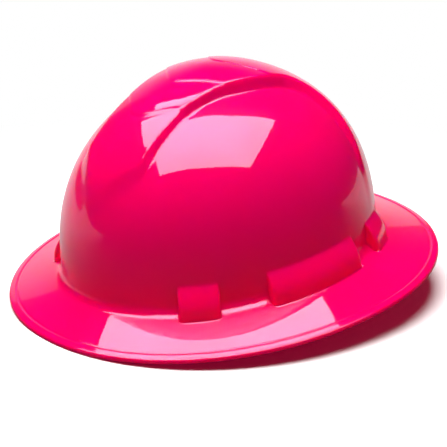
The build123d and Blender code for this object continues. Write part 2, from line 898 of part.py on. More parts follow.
# Brow pad inside the forehead of the headband
brow_outer = forehead_radius - band_thickness / 2 - pad_clearance
with BuildPart() as brow_pad:
    with BuildSketch(Plane.XY.offset(brow_pad_bottom)):
        with BuildLine():
            first = -quarter_turn - brow_pad_angle
            outer_arc = CenterArc((0, forehead_centre), brow_outer, first, 2 * brow_pad_angle)
            inner_arc = CenterArc(
                (0, forehead_centre),
                brow_outer - brow_pad_thickness,
                first,
                2 * brow_pad_angle,
            )
            Line(outer_arc @ 0, inner_arc @ 0)
            Line(outer_arc @ 1, inner_arc @ 1)
        make_face()
    extrude(amount=brow_pad_top - brow_pad_bottom)
    fillet(brow_pad.edges(), brow_pad_edge)
place(brow_pad.part, "brow_pad", stance)

# Nape assembly, drawn round its own centre and level: sleeves, pins, arms, plate and housing
for side, hand, layer in (("left", 1, outer_layer_radius), ("right", -1, arm_layer_radius)):
    place(nape_sleeve(layer, hand), f"nape_sleeve_{side}", nape_spot)
    place(pivot_pin(layer, hand), f"pivot_pin_{side}", stance)
    place(ratchet_arm(layer, hand, hand), f"ratchet_arm_{side}", nape_spot)

with BuildPart() as plate:
    plate_half = housing_height / 2 - plate_margin
    plate_angle = housing_angle - math.degrees(plate_margin / plate_outer)
    add(sector(plate_inner, plate_outer, -plate_angle, plate_angle, -plate_half, plate_half))
    with BuildSketch(rear_plane(plate_inner - plate_thickness)):
        Circle(journal_radius + bore_clearance)
    extrude(amount=3 * plate_thickness, mode=Mode.SUBTRACT)
    for angle in (-plate_peg_angle, plate_peg_angle):
        turn = radians(angle)
        out = Vector(math.sin(turn), math.cos(turn), 0)
        peg_plane = Plane(
            origin=out * (plate_inner + plate_thickness / 2),
            x_dir=(-out.Y, out.X, 0),
            z_dir=out,
        )
        with BuildSketch(peg_plane):
            with GridLocations(plate_peg_height, 2 * plate_peg_height, 1, 2):
                Circle(plate_peg_radius)
        extrude(amount=plate_thickness / 2 + plate_peg_length)
place(plate.part, "ratchet_plate", nape_spot)

with BuildPart() as housing:
    half = housing_height / 2
    add(sector(cavity_inner, housing_outer, -housing_angle, housing_angle, -half, half))
    with BuildSketch(rear_plane(cavity_outer)):
        Circle(boss_radius)
    extrude(amount=boss_top - cavity_outer)
    add(
        sector(
            cavity_inner - slide_clearance,
            cavity_outer,
            -housing_angle - plate_margin,
            housing_angle + plate_margin,
            -cavity_half,
            cavity_half,
        ),
        mode=Mode.SUBTRACT,
    )
    with BuildSketch(rear_plane(recess_floor)):
        Circle(detent_radius)
        with PolarLocations(detent_radius, detent_count):
            Circle(detent_notch_radius)
    extrude(amount=boss_rise, mode=Mode.SUBTRACT)
    with BuildSketch(rear_plane(cavity_outer - housing_wall)):
        Circle(shaft_radius + shaft_clearance)
    extrude(amount=2 * housing_wall + boss_rise, mode=Mode.SUBTRACT)
    for angle in (-plate_peg_angle, plate_peg_angle):
        turn = radians(angle)
        out = Vector(math.sin(turn), math.cos(turn), 0)
        socket_plane = Plane(
            origin=out * (cavity_inner - slide_clearance),
            x_dir=(-out.Y, out.X, 0),
            z_dir=out,
        )
        with BuildSketch(socket_plane):
            with GridLocations(plate_peg_height, 2 * plate_peg_height, 1, 2):
                Circle(plate_peg_radius + bore_clearance)
        extrude(amount=plate_peg_length + 2 * slide_clearance, mode=Mode.SUBTRACT)
place(housing.part, "ratchet_housing", nape_spot)

# Nape pad inside the plate
with BuildPart() as nape_pad:
    pad_outer = plate_inner - pad_clearance
    pad_half = nape_pad_height / 2
    pad_inner = pad_outer - nape_pad_thickness
    add(sector(pad_inner, pad_outer, -nape_pad_angle, nape_pad_angle, -pad_half, pad_half))
    fillet(nape_pad.edges(), nape_pad_edge)
place(nape_pad.part, "nape_pad", nape_spot)

# Pinion: gear between the arms, journal in the plate, shaft through the housing, square for the knob
gear_front = plate_outer + slide_clearance
gear_back = math.sqrt(cavity_outer**2 - pinion_tip**2) - gear_gap
square_start = recess_floor
with BuildPart() as pinion:
    with BuildSketch(rear_plane(gear_front)):
        Circle(pinion_root)
        with PolarLocations(0, pinion_teeth):
            Polygon(
                (0, -tooth_root_width / 2),
                (pinion_root, -tooth_root_width / 2),
                (pinion_tip, -tooth_tip_width / 2),
                (pinion_tip, tooth_tip_width / 2),
                (pinion_root, tooth_root_width / 2),
                (0, tooth_root_width / 2),
                align=None,
            )
    extrude(amount=gear_back - gear_front)
    with BuildSketch(rear_plane(plate_inner)):
        Circle(journal_radius)
    extrude(amount=gear_front - plate_inner)
    with BuildSketch(rear_plane(gear_back)):
        Circle(shaft_radius)
    extrude(amount=square_start - gear_back)
    with BuildSketch(rear_plane(square_start)):
        Rectangle(drive_square, drive_square)
    extrude(amount=drive_length)
    with BuildSketch(rear_plane(square_start + drive_length)):
        Circle(screw_radius + fit_gap)
    extrude(amount=-screw_length, mode=Mode.SUBTRACT)
place(pinion.part, "ratchet_pinion", nape_spot)

# Pawl spring: two sprung arms on the square, with tips that click in the notches
pawl_track_radius = detent_radius - pawl_tip_gap - pawl_arm_width / 2
with BuildLine() as pawl_track:
    CenterArc((0, 0), pawl_track_radius, 0, pawl_arm_angle)
with BuildLine() as far_pawl_track:
    CenterArc((0, 0), pawl_track_radius, 2 * quarter_turn, pawl_arm_angle)
with BuildPart() as pawl_spring:
    with BuildSketch(rear_plane(recess_floor + fit_gap)):
        Circle(pawl_hub_radius)
        Rectangle(2 * pawl_track_radius, pawl_arm_width)
        SlotArc(pawl_track.edge(), pawl_arm_width)
        SlotArc(far_pawl_track.edge(), pawl_arm_width)
        Rectangle(drive_square + 2 * drive_clearance, drive_square + 2 * drive_clearance, mode=Mode.SUBTRACT)
    extrude(amount=pawl_thickness)
place(pawl_spring.part, "pawl_spring", nape_spot)

# Knob: fluted cup with a hub on the square, its skirt round the boss
with BuildPart() as knob:
    with BuildSketch(rear_plane(knob_back)):
        Circle(knob_radius)
    extrude(amount=knob_length)
    fillet(knob.edges().sort_by(Axis.Y)[-1], knob_edge_radius)
    with BuildSketch(rear_plane(knob_back)):
        Circle(boss_radius + knob_skirt_gap)
        Circle(knob_hub_radius, mode=Mode.SUBTRACT)
    extrude(amount=knob_length - knob_web, mode=Mode.SUBTRACT)
    with BuildSketch(rear_plane(knob_back)):
        Circle(knob_hub_radius)
    extrude(amount=recess_floor + pawl_thickness + 3 * fit_gap - knob_back, mode=Mode.SUBTRACT)
    with BuildSketch(rear_plane(knob_back)):
        Rectangle(drive_square + 2 * drive_clearance, drive_square + 2 * drive_clearance)
    extrude(amount=square_start + drive_length + fit_gap - knob_back, mode=Mode.SUBTRACT)
    with BuildSketch(rear_plane(knob_face)):
        Circle(cap_radius)
    extrude(amount=-cap_thickness, mode=Mode.SUBTRACT)
    with BuildSketch(rear_plane(knob_face - cap_thickness)):
        Circle(screw_head_radius + fit_gap)
    extrude(amount=-screw_head_height - fit_gap, mode=Mode.SUBTRACT)
    with BuildSketch(rear_plane(knob_face)):
        Circle(screw_radius + fit_gap)
    extrude(amount=-knob_length, mode=Mode.SUBTRACT)
place(knob.part, "knob", nape_spot)

# Knob grip: a soft fluted ring round the knob
with BuildPart() as knob_grip:
    with BuildSketch(rear_plane(knob_back + knob_grip_margin)):
        Circle(knob_radius + knob_grip_thickness)
        with PolarLocations(knob_radius + knob_grip_thickness + flute_radius - flute_depth, flute_count):
            Circle(flute_radius, mode=Mode.SUBTRACT)
        Circle(knob_radius + fit_gap / 2, mode=Mode.SUBTRACT)
    extrude(amount=knob_length - 2 * knob_grip_margin)
place(knob_grip.part, "knob_grip", nape_spot)

# Knob screw and cap
screw_seat = knob_face - cap_thickness - screw_head_height
with BuildPart() as knob_screw:
    with BuildSketch(rear_plane(screw_seat)):
        Circle(screw_head_radius)
    extrude(amount=screw_head_height)
    with BuildSketch(rear_plane(screw_seat)):
        Circle(screw_radius)
    extrude(amount=-screw_length)
    with BuildSketch(rear_plane(knob_face - cap_thickness)):
        Rectangle(screw_head_radius, screw_radius / 2)
        Rectangle(screw_radius / 2, screw_head_radius)
    extrude(amount=-screw_radius, mode=Mode.SUBTRACT)
place(knob_screw.part, "knob_screw", nape_spot)

with BuildPart() as knob_cap:
    with BuildSketch(rear_plane(knob_face - cap_thickness + fit_gap / 2)):
        Circle(cap_radius - fit_gap)
    extrude(amount=cap_thickness)
    chamfer(knob_cap.edges().sort_by(Axis.Y)[-1], cap_thickness / 2 - fit_gap)
place(knob_cap.part, "knob_cap", nape_spot)
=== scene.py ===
"""Looks of a full brim hard hat: glossy moulded shell, webbing, pads and ratchet.

Shapes are worked out in the hat's own level frame in millimetres (X to the wearer's left, -Y to
the front, Z up from the brim's edge) and moved to the row frame in metres as the hat stands.
"""

from __future__ import annotations

import logging
import math
from dataclasses import dataclass, field
from enum import Enum
from typing import Any, Sequence, Union

import bpy
import numpy as np
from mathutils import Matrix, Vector

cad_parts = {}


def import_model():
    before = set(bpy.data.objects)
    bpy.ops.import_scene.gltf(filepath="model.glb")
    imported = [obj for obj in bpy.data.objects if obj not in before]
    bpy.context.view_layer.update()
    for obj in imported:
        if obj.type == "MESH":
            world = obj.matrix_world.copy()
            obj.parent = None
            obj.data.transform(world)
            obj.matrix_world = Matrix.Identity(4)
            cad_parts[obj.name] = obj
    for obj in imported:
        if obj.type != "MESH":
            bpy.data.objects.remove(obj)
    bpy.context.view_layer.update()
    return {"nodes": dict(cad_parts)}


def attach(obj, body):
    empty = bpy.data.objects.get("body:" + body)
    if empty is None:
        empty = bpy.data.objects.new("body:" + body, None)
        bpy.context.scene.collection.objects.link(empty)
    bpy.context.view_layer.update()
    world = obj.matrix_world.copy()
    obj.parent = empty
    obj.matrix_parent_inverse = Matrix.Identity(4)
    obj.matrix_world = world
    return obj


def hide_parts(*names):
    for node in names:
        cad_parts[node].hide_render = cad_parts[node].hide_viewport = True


LOG = logging.getLogger("hard_hat")
METRE = 0.001


class Slot(Enum):
    """Material slots of the record."""

    SHELL = "shell"
    SUSPENSION = "suspension"
    WEBBING = "webbing"
    PAD = "pad"
    ACETAL = "acetal"
    GRIP = "grip"
    STEEL = "steel"


class Body(Enum):
    """Bodies of the record that new pieces ride on."""

    HAT = "hat"
    NAPE = "nape"


# Placing


@dataclass(frozen=True)
class Stance:
    """How the level hat stands: it leans on the front of its brim.

    The ratchet hangs level from its pivots.
    """

    half_length: float = 160.0
    edge_height: float = 2.4
    lean_degrees: float = 6.24
    band_centre: float = 18.0
    pivot_height: float = 15.5
    housing_height: float = 39.4

    @property
    def lean(self) -> float:
        """Angle in radians by which the hat leans to the front."""
        return math.radians(self.lean_degrees)

    def to_row(self, points: np.ndarray) -> np.ndarray:
        """Turns points about X by the lean, lifts them and scales them to metres.

        Args:
            points: Array (..., 3) in the hat's level frame, in millimetres.

        Returns:
            Array of the same shape in the row frame, in metres.
        """
        c, s = math.cos(self.lean), math.sin(self.lean)
        x, y, z = points[..., 0], points[..., 1], points[..., 2]
        out = np.stack([x, y * c - z * s, y * s + z * c], axis=-1)
        out[..., 1] += self.edge_height * s / 2
        out[..., 2] += self.half_length * s
        return out * METRE

    def nape_to_row(self, points: np.ndarray) -> np.ndarray:
        """Moves points from the ratchet's own centre to the row frame in metres; the ratchet is level."""
        pivot = self.to_row(np.array([0.0, self.band_centre, self.pivot_height]))
        return points * METRE + np.array([0.0, pivot[1], self.housing_height / 2 * METRE])


STANCE = Stance()

# Shader maths

Number = Union[float, int, "Value"]
Colour = tuple[float, float, float]
BLACK: Colour = (0.0, 0.0, 0.0)
WHITE: Colour = (1.0, 1.0, 1.0)


class Value:
    """A number in a shader: a socket, or a plain number, with operators that add Math nodes."""

    def __init__(self, tree: bpy.types.NodeTree, source: Any) -> None:
        """Keeps the node tree and the socket or number."""
        self.tree = tree
        self.source = source

    def math(self, operation: str, *others: Number, clamp: bool = False) -> "Value":
        """Adds a Math node on this value and others.

        Args:
            operation: The Math node's operation.
            others: Further inputs, numbers or values.
            clamp: Whether the result is held between 0 and 1.

        Returns:
            The node's result.
        """
        settings = {"operation": operation, "use_clamp": clamp}
        node = add_node(self.tree, "ShaderNodeMath", settings, dict(enumerate((self, *others))))
        return Value(self.tree, node.outputs[0])

    def __add__(self, other: Number) -> "Value":
        """Sum."""
        return self.math("ADD", other)

    __radd__ = __add__

    def __sub__(self, other: Number) -> "Value":
        """Difference."""
        return self.math("SUBTRACT", other)

    def __rsub__(self, other: Number) -> "Value":
        """Difference with a number first."""
        return Value(self.tree, other).math("SUBTRACT", self)

    def __mul__(self, other: Number) -> "Value":
        """Product."""
        return self.math("MULTIPLY", other)

    __rmul__ = __mul__

    def __truediv__(self, other: Number) -> "Value":
        """Quotient."""
        return self.math("DIVIDE", other)

    def __pow__(self, other: Number) -> "Value":
        """Power."""
        return self.math("POWER", other)

    def __abs__(self) -> "Value":
        """Size without sign."""
        return self.math("ABSOLUTE")

    def wave(self) -> "Value":
        """A triangle wave: 1 at whole numbers and 0 half way between them."""
        return abs(self.math("FRACT") * 2.0 - 1.0)

    def band(self, low: float, high: float) -> "Value":
        """A soft step from 0 at low to 1 at high."""
        settings = {"interpolation_type": "SMOOTHSTEP"}
        sockets = {"Value": self, "From Min": low, "From Max": high}
        node = add_node(self.tree, "ShaderNodeMapRange", settings, sockets)
        return Value(self.tree, node.outputs["Result"])


def feed(tree: bpy.types.NodeTree, socket: Any, item: Any) -> None:
    """Links a socket to another, or sets its value.

    Args:
        tree: The node tree.
        socket: The input socket.
        item: A Value, an output socket, a number or a tuple.
    """
    source = item.source if isinstance(item, Value) else item
    if isinstance(source, bpy.types.NodeSocket):
        tree.links.new(source, socket)
    elif isinstance(source, (tuple, list)) and len(source) == 3 and socket.type == "RGBA":
        socket.default_value = (*source, 1.0)
    else:
        socket.default_value = source


def add_node(
    tree: bpy.types.NodeTree,
    kind: str,
    settings: dict[str, Any] | None = None,
    sockets: dict[str | int, Any] | None = None,
) -> Any:
    """Adds any node to a tree.

    Args:
        tree: The node tree.
        kind: The node's type name.
        settings: Attributes set before the sockets are fed.
        sockets: Values or links by the input's name or number.

    Returns:
        The new node.
    """
    made = tree.nodes.new(kind)
    for key, item in (settings or {}).items():
        setattr(made, key, item)
    for key, item in (sockets or {}).items():
        feed(tree, made.inputs[key], item)
    return made


class Surface:
    """One material being built: its node tree, its shader and helpers that add nodes."""

    MIX_FACTOR = 0
    MIX_FIRST = 6
    MIX_SECOND = 7
    MIX_RESULT = 2

    def __init__(self, name: str) -> None:
        """Starts an empty material with a Principled shader."""
        self.material = bpy.data.materials.new(name)
        self.material.use_nodes = True
        self.tree = self.material.node_tree
        self.tree.nodes.clear()
        self.shader = self.node("ShaderNodeBsdfPrincipled")
        self.output = self.node("ShaderNodeOutputMaterial", Surface=self.shader.outputs[0])

    def node(self, kind: str, settings: dict[str, Any] | None = None, **inputs: Any) -> Any:
        """Adds any node.

        Args:
            kind: The node's type name.
            settings: Attributes set before the sockets are fed.
            inputs: Socket values or links; an underscore stands for a space in a socket's name.

        Returns:
            The new node.
        """
        sockets = {key.replace("_", " "): item for key, item in inputs.items()}
        return add_node(self.tree, kind, settings, sockets)

    def value(self, source: Any) -> Value:
        """Wraps a socket or a number."""
        return Value(self.tree, source)

    def place(self) -> Any:
        """The socket of the object's own coordinates."""
        return self.node("ShaderNodeTexCoord").outputs["Object"]

    def spot(self) -> tuple[Value, Value]:
        """The two numbers of the UV map."""
        return self.axes(self.node("ShaderNodeUVMap").outputs["UV"])[:2]

    def ray(self, kind: str) -> Value:
        """Whether the ray is of a kind that the Light Path node names, as 0 or 1."""
        return self.value(self.node("ShaderNodeLightPath").outputs[f"Is {kind} Ray"])

    def axes(self, vector: Any) -> tuple[Value, Value, Value]:
        """Splits a vector into three values."""
        parts = self.node("ShaderNodeSeparateXYZ", Vector=vector)
        return tuple(self.value(socket) for socket in parts.outputs)

    def noise(self, vector: Any, scale: float, detail: float = 3.0, roughness: float = 0.5) -> Value:
        """Noise between 0 and 1 at a scale."""
        sockets = {"Vector": vector, "Scale": scale, "Detail": detail, "Roughness": roughness}
        return self.value(add_node(self.tree, "ShaderNodeTexNoise", None, sockets).outputs["Fac"])

    def mix(self, factor: Any, first: Any, second: Any) -> Any:
        """Mixes two colours.

        Args:
            factor: Share of the second colour.
            first: First colour.
            second: Second colour.

        Returns:
            The mixed colour's socket.
        """
        sockets = {self.MIX_FACTOR: factor, self.MIX_FIRST: first, self.MIX_SECOND: second}
        made = add_node(self.tree, "ShaderNodeMix", {"data_type": "RGBA"}, sockets)
        return made.outputs[self.MIX_RESULT]

    def bump(self, height: Any, strength: float, distance: float) -> Any:
        """Adds a Bump node and returns its normal."""
        made = self.node("ShaderNodeBump", Height=height, Strength=strength, Distance=distance)
        return made.outputs["Normal"]

    def join(self, first: Any, second: Any, both: Any) -> None:
        """Puts two shaders into a Mix Shader and that into the output."""
        feed(self.tree, both.inputs[1], first.outputs[0])
        feed(self.tree, both.inputs[2], second.outputs[0])
        feed(self.tree, self.output.inputs["Surface"], both.outputs[0])

    def set(self, **inputs: Any) -> None:
        """Sets or links sockets of the shader; an underscore stands for a space."""
        for key, item in inputs.items():
            feed(self.tree, self.shader.inputs[key.replace("_", " ")], item)


# Finishes


@dataclass(frozen=True)
class GlossPlastic:
    """Bright moulded plastic under a clear gloss, with faint haze, dust and mould flow.

    A little red light passes through the wall and tints the shadow.
    """

    name: str = "gloss_plastic"
    colour: Colour = (0.92, 0.0, 0.105)
    deep: Colour = (0.88, 0.0, 0.092)
    roughness: float = 0.3
    haze: float = 0.05
    coat: float = 0.55
    coat_roughness: float = 0.03
    flow_scale: float = 14.0
    smudge_scale: float = 55.0
    peel_scale: float = 420.0
    speck_scale: float = 1500.0
    relief_strength: float = 0.05
    relief_depth: float = 0.0004
    under_gloss: float = 0.1
    glow_through: float = 0.6
    reach: float = 0.011
    reach_shares: tuple[float, float, float] = (1.0, 0.03, 0.12)

    def make(self) -> bpy.types.Material:
        """Builds the material."""
        s = Surface(self.name)
        where = s.place()
        flow = s.noise(where, self.flow_scale, 2.0).band(0.35, 0.7)
        s.set(Base_Color=s.mix(flow, self.colour, self.deep))
        smudge = s.noise(where, self.smudge_scale, 5.0, 0.6).band(0.45, 0.75)
        s.set(Roughness=smudge * self.haze + self.roughness)
        peel = s.noise(where, self.peel_scale, 1.0)
        speck = s.noise(where, self.speck_scale, 1.0).band(0.72, 0.8)
        normal = s.bump(peel * 0.5 + speck * 0.25, self.relief_strength, self.relief_depth)
        s.set(Normal=normal, Coat_Weight=self.coat, Coat_Roughness=self.coat_roughness, Coat_IOR=1.5)
        s.set(Specular_IOR_Level=self.under_gloss, Subsurface_Weight=self.glow_through)
        s.set(Subsurface_Radius=self.reach_shares, Subsurface_Scale=self.reach)
        return s.material


class Relief(Enum):
    """What raises a plain skin's bump."""

    GRAIN = "grain"
    CLOUD = "cloud"
    PEBBLE = "pebble"


@dataclass(frozen=True)
class PlainSkin:
    """Skin of a plain part: clouds of a second shade, uneven roughness and a fine relief."""

    name: str
    colour: Colour
    second: Colour
    cloud_scale: float
    cloud_detail: float
    roughness: float
    grain_scale: float
    relief: Relief
    relief_strength: float
    relief_depth: float
    cloud_share: float = 1.0
    cloud_band: tuple[float, float] | None = None
    cloud_roughness: float = 0.0
    grain_roughness: float = 0.0
    metallic: float = 0.0

    def make(self) -> bpy.types.Material:
        """Builds the material; the grain's scale is the pebbles' too."""
        s = Surface(self.name)
        where = s.place()
        cloud = s.noise(where, self.cloud_scale, self.cloud_detail)
        if self.cloud_band:
            cloud = cloud.band(*self.cloud_band)
        grain = s.noise(where, self.grain_scale, 2.0)
        raised = grain if self.relief is Relief.GRAIN else cloud
        if self.relief is Relief.PEBBLE:
            raised = s.node("ShaderNodeTexVoronoi", Vector=where, Scale=self.grain_scale).outputs["Distance"]
        s.set(Base_Color=s.mix(cloud * self.cloud_share, self.colour, self.second), Metallic=self.metallic)
        s.set(Roughness=grain * self.grain_roughness + cloud * self.cloud_roughness + self.roughness)
        s.set(Normal=s.bump(raised, self.relief_strength, self.relief_depth))
        return s.material


MOULDED_NYLON = PlainSkin(
    name="moulded_nylon",
    colour=(0.022, 0.022, 0.025),
    second=(0.06, 0.06, 0.065),
    cloud_scale=40.0,
    cloud_detail=4.0,
    cloud_band=(0.5, 0.8),
    cloud_share=0.6,
    roughness=0.46,
    cloud_roughness=0.08,
    grain_scale=2600.0,
    grain_roughness=0.12,
    relief=Relief.GRAIN,
    relief_strength=0.25,
    relief_depth=0.0002,
)
ACETAL = PlainSkin(
    name="acetal",
    colour=(0.62, 0.61, 0.57),
    second=(0.5, 0.49, 0.45),
    cloud_scale=180.0,
    cloud_detail=3.0,
    roughness=0.3,
    grain_scale=900.0,
    grain_roughness=0.1,
    relief=Relief.CLOUD,
    relief_strength=0.1,
    relief_depth=0.0001,
)
GRIP_RUBBER = PlainSkin(
    name="grip_rubber",
    colour=(0.013, 0.013, 0.014),
    second=(0.04, 0.04, 0.042),
    cloud_scale=90.0,
    cloud_detail=4.0,
    cloud_band=(0.45, 0.8),
    cloud_share=0.6,
    roughness=0.68,
    cloud_roughness=0.12,
    grain_scale=1300.0,
    relief=Relief.PEBBLE,
    relief_strength=0.4,
    relief_depth=0.0003,
)
PLATED_STEEL = PlainSkin(
    name="plated_steel",
    colour=(0.62, 0.63, 0.66),
    second=(0.45, 0.45, 0.47),
    cloud_scale=500.0,
    cloud_detail=4.0,
    roughness=0.26,
    cloud_roughness=0.15,
    grain_scale=2600.0,
    relief=Relief.GRAIN,
    relief_strength=0.15,
    relief_depth=0.0001,
    metallic=1.0,
)


@dataclass(frozen=True)
class WovenWebbing:
    """Flat woven strap: herringbone ribs along its own UV, with slightly smoother selvedges."""

    name: str = "woven_webbing"
    colour: Colour = (0.03, 0.03, 0.034)
    light: Colour = (0.075, 0.075, 0.082)
    ribs: float = 14.0
    picks: float = 1.1
    fuzz_scale: float = 1800.0
    selvedge: tuple[float, float] = (0.86, 0.95)
    roughness: float = 0.72
    relief_strength: float = 0.7
    relief_depth: float = 0.0005
    sheen: float = 0.2

    def make(self) -> bpy.types.Material:
        """Builds the material: u runs along the strap in millimetres, v across from 0 to 1."""
        s = Surface(self.name)
        u, v = s.spot()
        across = abs(v * 2.0 - 1.0)
        rib = (v * self.ribs).wave()
        pick = (u * self.picks + rib * 0.5).wave()
        weave = rib * 0.55 + pick * 0.45
        fuzz = s.noise(s.place(), self.fuzz_scale, 3.0)
        edge = across.band(*self.selvedge)
        s.set(Base_Color=s.mix(weave * 0.7 + fuzz * 0.3, self.colour, self.light))
        s.set(Roughness=edge * -0.08 + fuzz * 0.1 + self.roughness, Sheen_Weight=self.sheen)
        s.set(Normal=s.bump(weave * 0.8 + fuzz * 0.2, self.relief_strength, self.relief_depth))
        return s.material


@dataclass(frozen=True)
class BrushedKnit:
    """Soft knit over foam: short nap, fine wales and courses by UV."""

    name: str = "brushed_knit"
    colour: Colour = (0.028, 0.028, 0.031)
    nap: Colour = (0.07, 0.07, 0.076)
    wales: float = 0.9
    courses: float = 1.3
    fuzz_scale: float = 1400.0
    cloud_scale: float = 60.0
    roughness: float = 0.85
    relief_strength: float = 0.8
    relief_depth: float = 0.0007
    sheen: float = 0.35
    sheen_roughness: float = 0.5

    def make(self) -> bpy.types.Material:
        """Builds the material: u and v of the UV run in millimetres along the pad's face."""
        s = Surface(self.name)
        where = s.place()
        u, v = s.spot()
        wale, course = (u * self.wales).wave(), (v * self.courses).wave()
        fuzz = s.noise(where, self.fuzz_scale, 5.0, 0.65)
        cloud = s.noise(where, self.cloud_scale, 3.0).band(0.3, 0.8)
        knit = wale * 0.35 + course * 0.3 + fuzz * 0.35
        s.set(Base_Color=s.mix(knit * 0.6 + cloud * 0.3, self.colour, self.nap))
        s.set(Roughness=fuzz * 0.1 + self.roughness)
        s.set(Sheen_Weight=self.sheen, Sheen_Roughness=self.sheen_roughness)
        s.set(Normal=s.bump(knit, self.relief_strength, self.relief_depth))
        return s.material


@dataclass(frozen=True)
class StudioWhite:
    """White of table and backdrop: takes shadows near the hat, with a painted red shadow tint there, and runs
    out to an even white.
    """

    name: str = "studio_white"
    colour: Colour = (0.9, 0.9, 0.9)
    roughness: float = 0.9
    shadow_reach: float = 0.24
    white_reach: float = 0.5
    toward_camera: tuple[float, float] = (0.880, -0.476)
    bounce: Colour = (0.38, 0.38, 0.38)
    # Painted red shadow tint near the hat, seen by the camera only, and how far out it fades
    painted_shadow_red: Colour = (0.17, 0.0, 0.016)
    painted_red_reach: float = 0.17
    painted_red_end: float = 0.25
    fade_start: float = 0.3
    fade_end: float = 1.9
    near_share: float = 0.01
    turn_start: float = -0.1
    turn_end: float = 0.25

    def make(self) -> bpy.types.Material:
        """Builds the material: far off it is an even white, and it sends part of its light to the hat.

        Reflections see it bright behind the hat only, fading with height, and from below it is clear.
        Near the hat the camera sees a faint painted red shadow tint on it, standing in for light that came
        through the plastic.
        """
        s = Surface(self.name)
        s.set(Roughness=self.roughness, Specular_IOR_Level=0.0)
        x, y, z = s.axes(s.place())
        away = (x * x + y * y + z * z) ** 0.5
        far = away.band(self.shadow_reach, self.white_reach)
        toward_x, toward_y = self.toward_camera
        behind = (x * -toward_x - y * toward_y).band(self.turn_start, self.turn_end)
        camera = s.ray("Camera").math("MAXIMUM", s.ray("Transmission"))
        glossy = s.ray("Glossy")
        s.set(Base_Color=s.mix(camera, self.bounce, self.colour))
        # Painted red shadow tint: a red emission near the hat that only camera rays see
        near = camera * (1.0 - away.band(self.painted_red_reach, self.painted_red_end))
        s.set(Emission_Color=s.mix(near, BLACK, self.painted_shadow_red), Emission_Strength=1.0)
        fade = 1.0 - z.band(self.fade_start, self.fade_end)
        reflected = fade * behind * (1.0 - self.near_share) + self.near_share
        glow = s.node("ShaderNodeEmission", Color=WHITE, Strength=camera + (1.0 - camera) * reflected)
        both = s.node("ShaderNodeMixShader", Fac=(far * camera).math("MAXIMUM", glossy))
        s.join(s.shader, glow, both)
        under = s.node("ShaderNodeMixShader", Fac=s.node("ShaderNodeNewGeometry").outputs["Backfacing"])
        s.join(both, s.node("ShaderNodeBsdfTransparent"), under)
        return s.material


@dataclass(frozen=True)
class SoftboxFace:
    """Face of the overhead softbox or strip as reflections see it: pink, and cooler in the middle."""

    name: str = "softbox_face"
    middle: Colour = (1.0, 0.72, 1.0)
    edge: Colour = (1.0, 0.62, 0.8)
    strength: float = 20.0

    def make(self) -> bpy.types.Material:
        """Builds the material: it shines to glossy rays only, so it adds no light of its own."""
        s = Surface(self.name)
        s.tree.nodes.remove(s.shader)
        u, v = s.spot()
        away = abs(u - 0.5).math("MAXIMUM", abs(v - 0.5)) * 2.0
        colour = s.mix(away.band(0.2, 1.0), self.middle, self.edge)
        glow = s.node("ShaderNodeEmission", Color=colour, Strength=self.strength)
        s.join(s.node("ShaderNodeBsdfTransparent"), glow, s.node("ShaderNodeMixShader", Fac=s.ray("Glossy")))
        return s.material


# Meshes


def add_mesh(name: str, points: np.ndarray, faces: Sequence[Sequence[int]]) -> bpy.types.Object:
    """Puts points and faces into a new smooth object at the origin.

    Args:
        name: Object name.
        points: Array (n, 3) in the row frame, in metres.
        faces: Lists of point indices, of any length.

    Returns:
        The linked object.
    """
    mesh = bpy.data.meshes.new(name)
    mesh.from_pydata(points.reshape(-1, 3), [], faces)
    mesh.update()
    mesh.polygons.foreach_set("use_smooth", np.ones(len(mesh.polygons), dtype=bool))
    made = bpy.data.objects.new(name, mesh)
    bpy.context.scene.collection.objects.link(made)
    return made


def give_uv(made: bpy.types.Object, spots: np.ndarray) -> None:
    """Writes a UV map from one pair of numbers a vertex.

    Args:
        made: The object.
        spots: Array (n, 2).
    """
    mesh = made.data
    corner = np.empty(len(mesh.loops), dtype=np.int32)
    mesh.loops.foreach_get("vertex_index", corner)
    layer = mesh.uv_layers.new(name="UVMap")
    layer.data.foreach_set("uv", spots[corner].astype(np.float32).ravel())


def grid_quads(rows: int, columns: int, wrap: bool, start: int = 0) -> list[list[int]]:
    """Quads between rows of points, row by row.

    Args:
        rows: Number of rows.
        columns: Number of columns.
        wrap: Whether the last column joins the first.
        start: Index of the first point.

    Returns:
        Four point indices a quad.
    """
    last = columns if wrap else columns - 1
    row, column = np.meshgrid(np.arange(rows - 1), np.arange(last), indexing="ij")
    here, after = start + row * columns, (column + 1) % columns
    below = here + columns
    quads = np.stack([here + column, below + column, below + after, here + after], axis=-1)
    return quads.reshape(-1, 4).tolist()


def tube_faces(rows: int, columns: int) -> list[list[int]]:
    """Faces of a tube of closed rows of points, with a flat face at each end."""
    first = (rows - 1) * columns
    ends = [list(range(columns))[::-1], list(range(first, first + columns))]
    return grid_quads(rows, columns, True) + ends


def fan(pole: int, first: int, count: int, flip: bool = False) -> list[list[int]]:
    """Triangles from a pole to a closed row of points.

    Args:
        pole: Index of the pole.
        first: Index of the row's first point.
        count: Number of points in the row.
        flip: Whether the triangles turn the other way.

    Returns:
        Three point indices a triangle.
    """
    here = first + np.arange(count)
    after = first + (np.arange(count) + 1) % count
    pair = (after, here) if flip else (here, after)
    return np.stack([np.full(count, pole), *pair], axis=-1).tolist()


def box_faces(count: int, start: int) -> list[list[int]]:
    """Faces of boxes of eight points each: four below, then four above.

    Args:
        count: Number of boxes.
        start: Index of the first point.

    Returns:
        Six quads a box.
    """
    sides = np.array([[3, 2, 1, 0], [4, 5, 6, 7], [0, 1, 5, 4], [1, 2, 6, 5], [2, 3, 7, 6], [3, 0, 4, 7]])
    return (sides[None] + start + 8 * np.arange(count)[:, None, None]).reshape(-1, 4).tolist()


def at_height(plan: np.ndarray, height: np.ndarray) -> np.ndarray:
    """Joins plan points (..., 2) and heights (...) into points (..., 3)."""
    return np.concatenate([plan, height[..., None]], axis=-1)


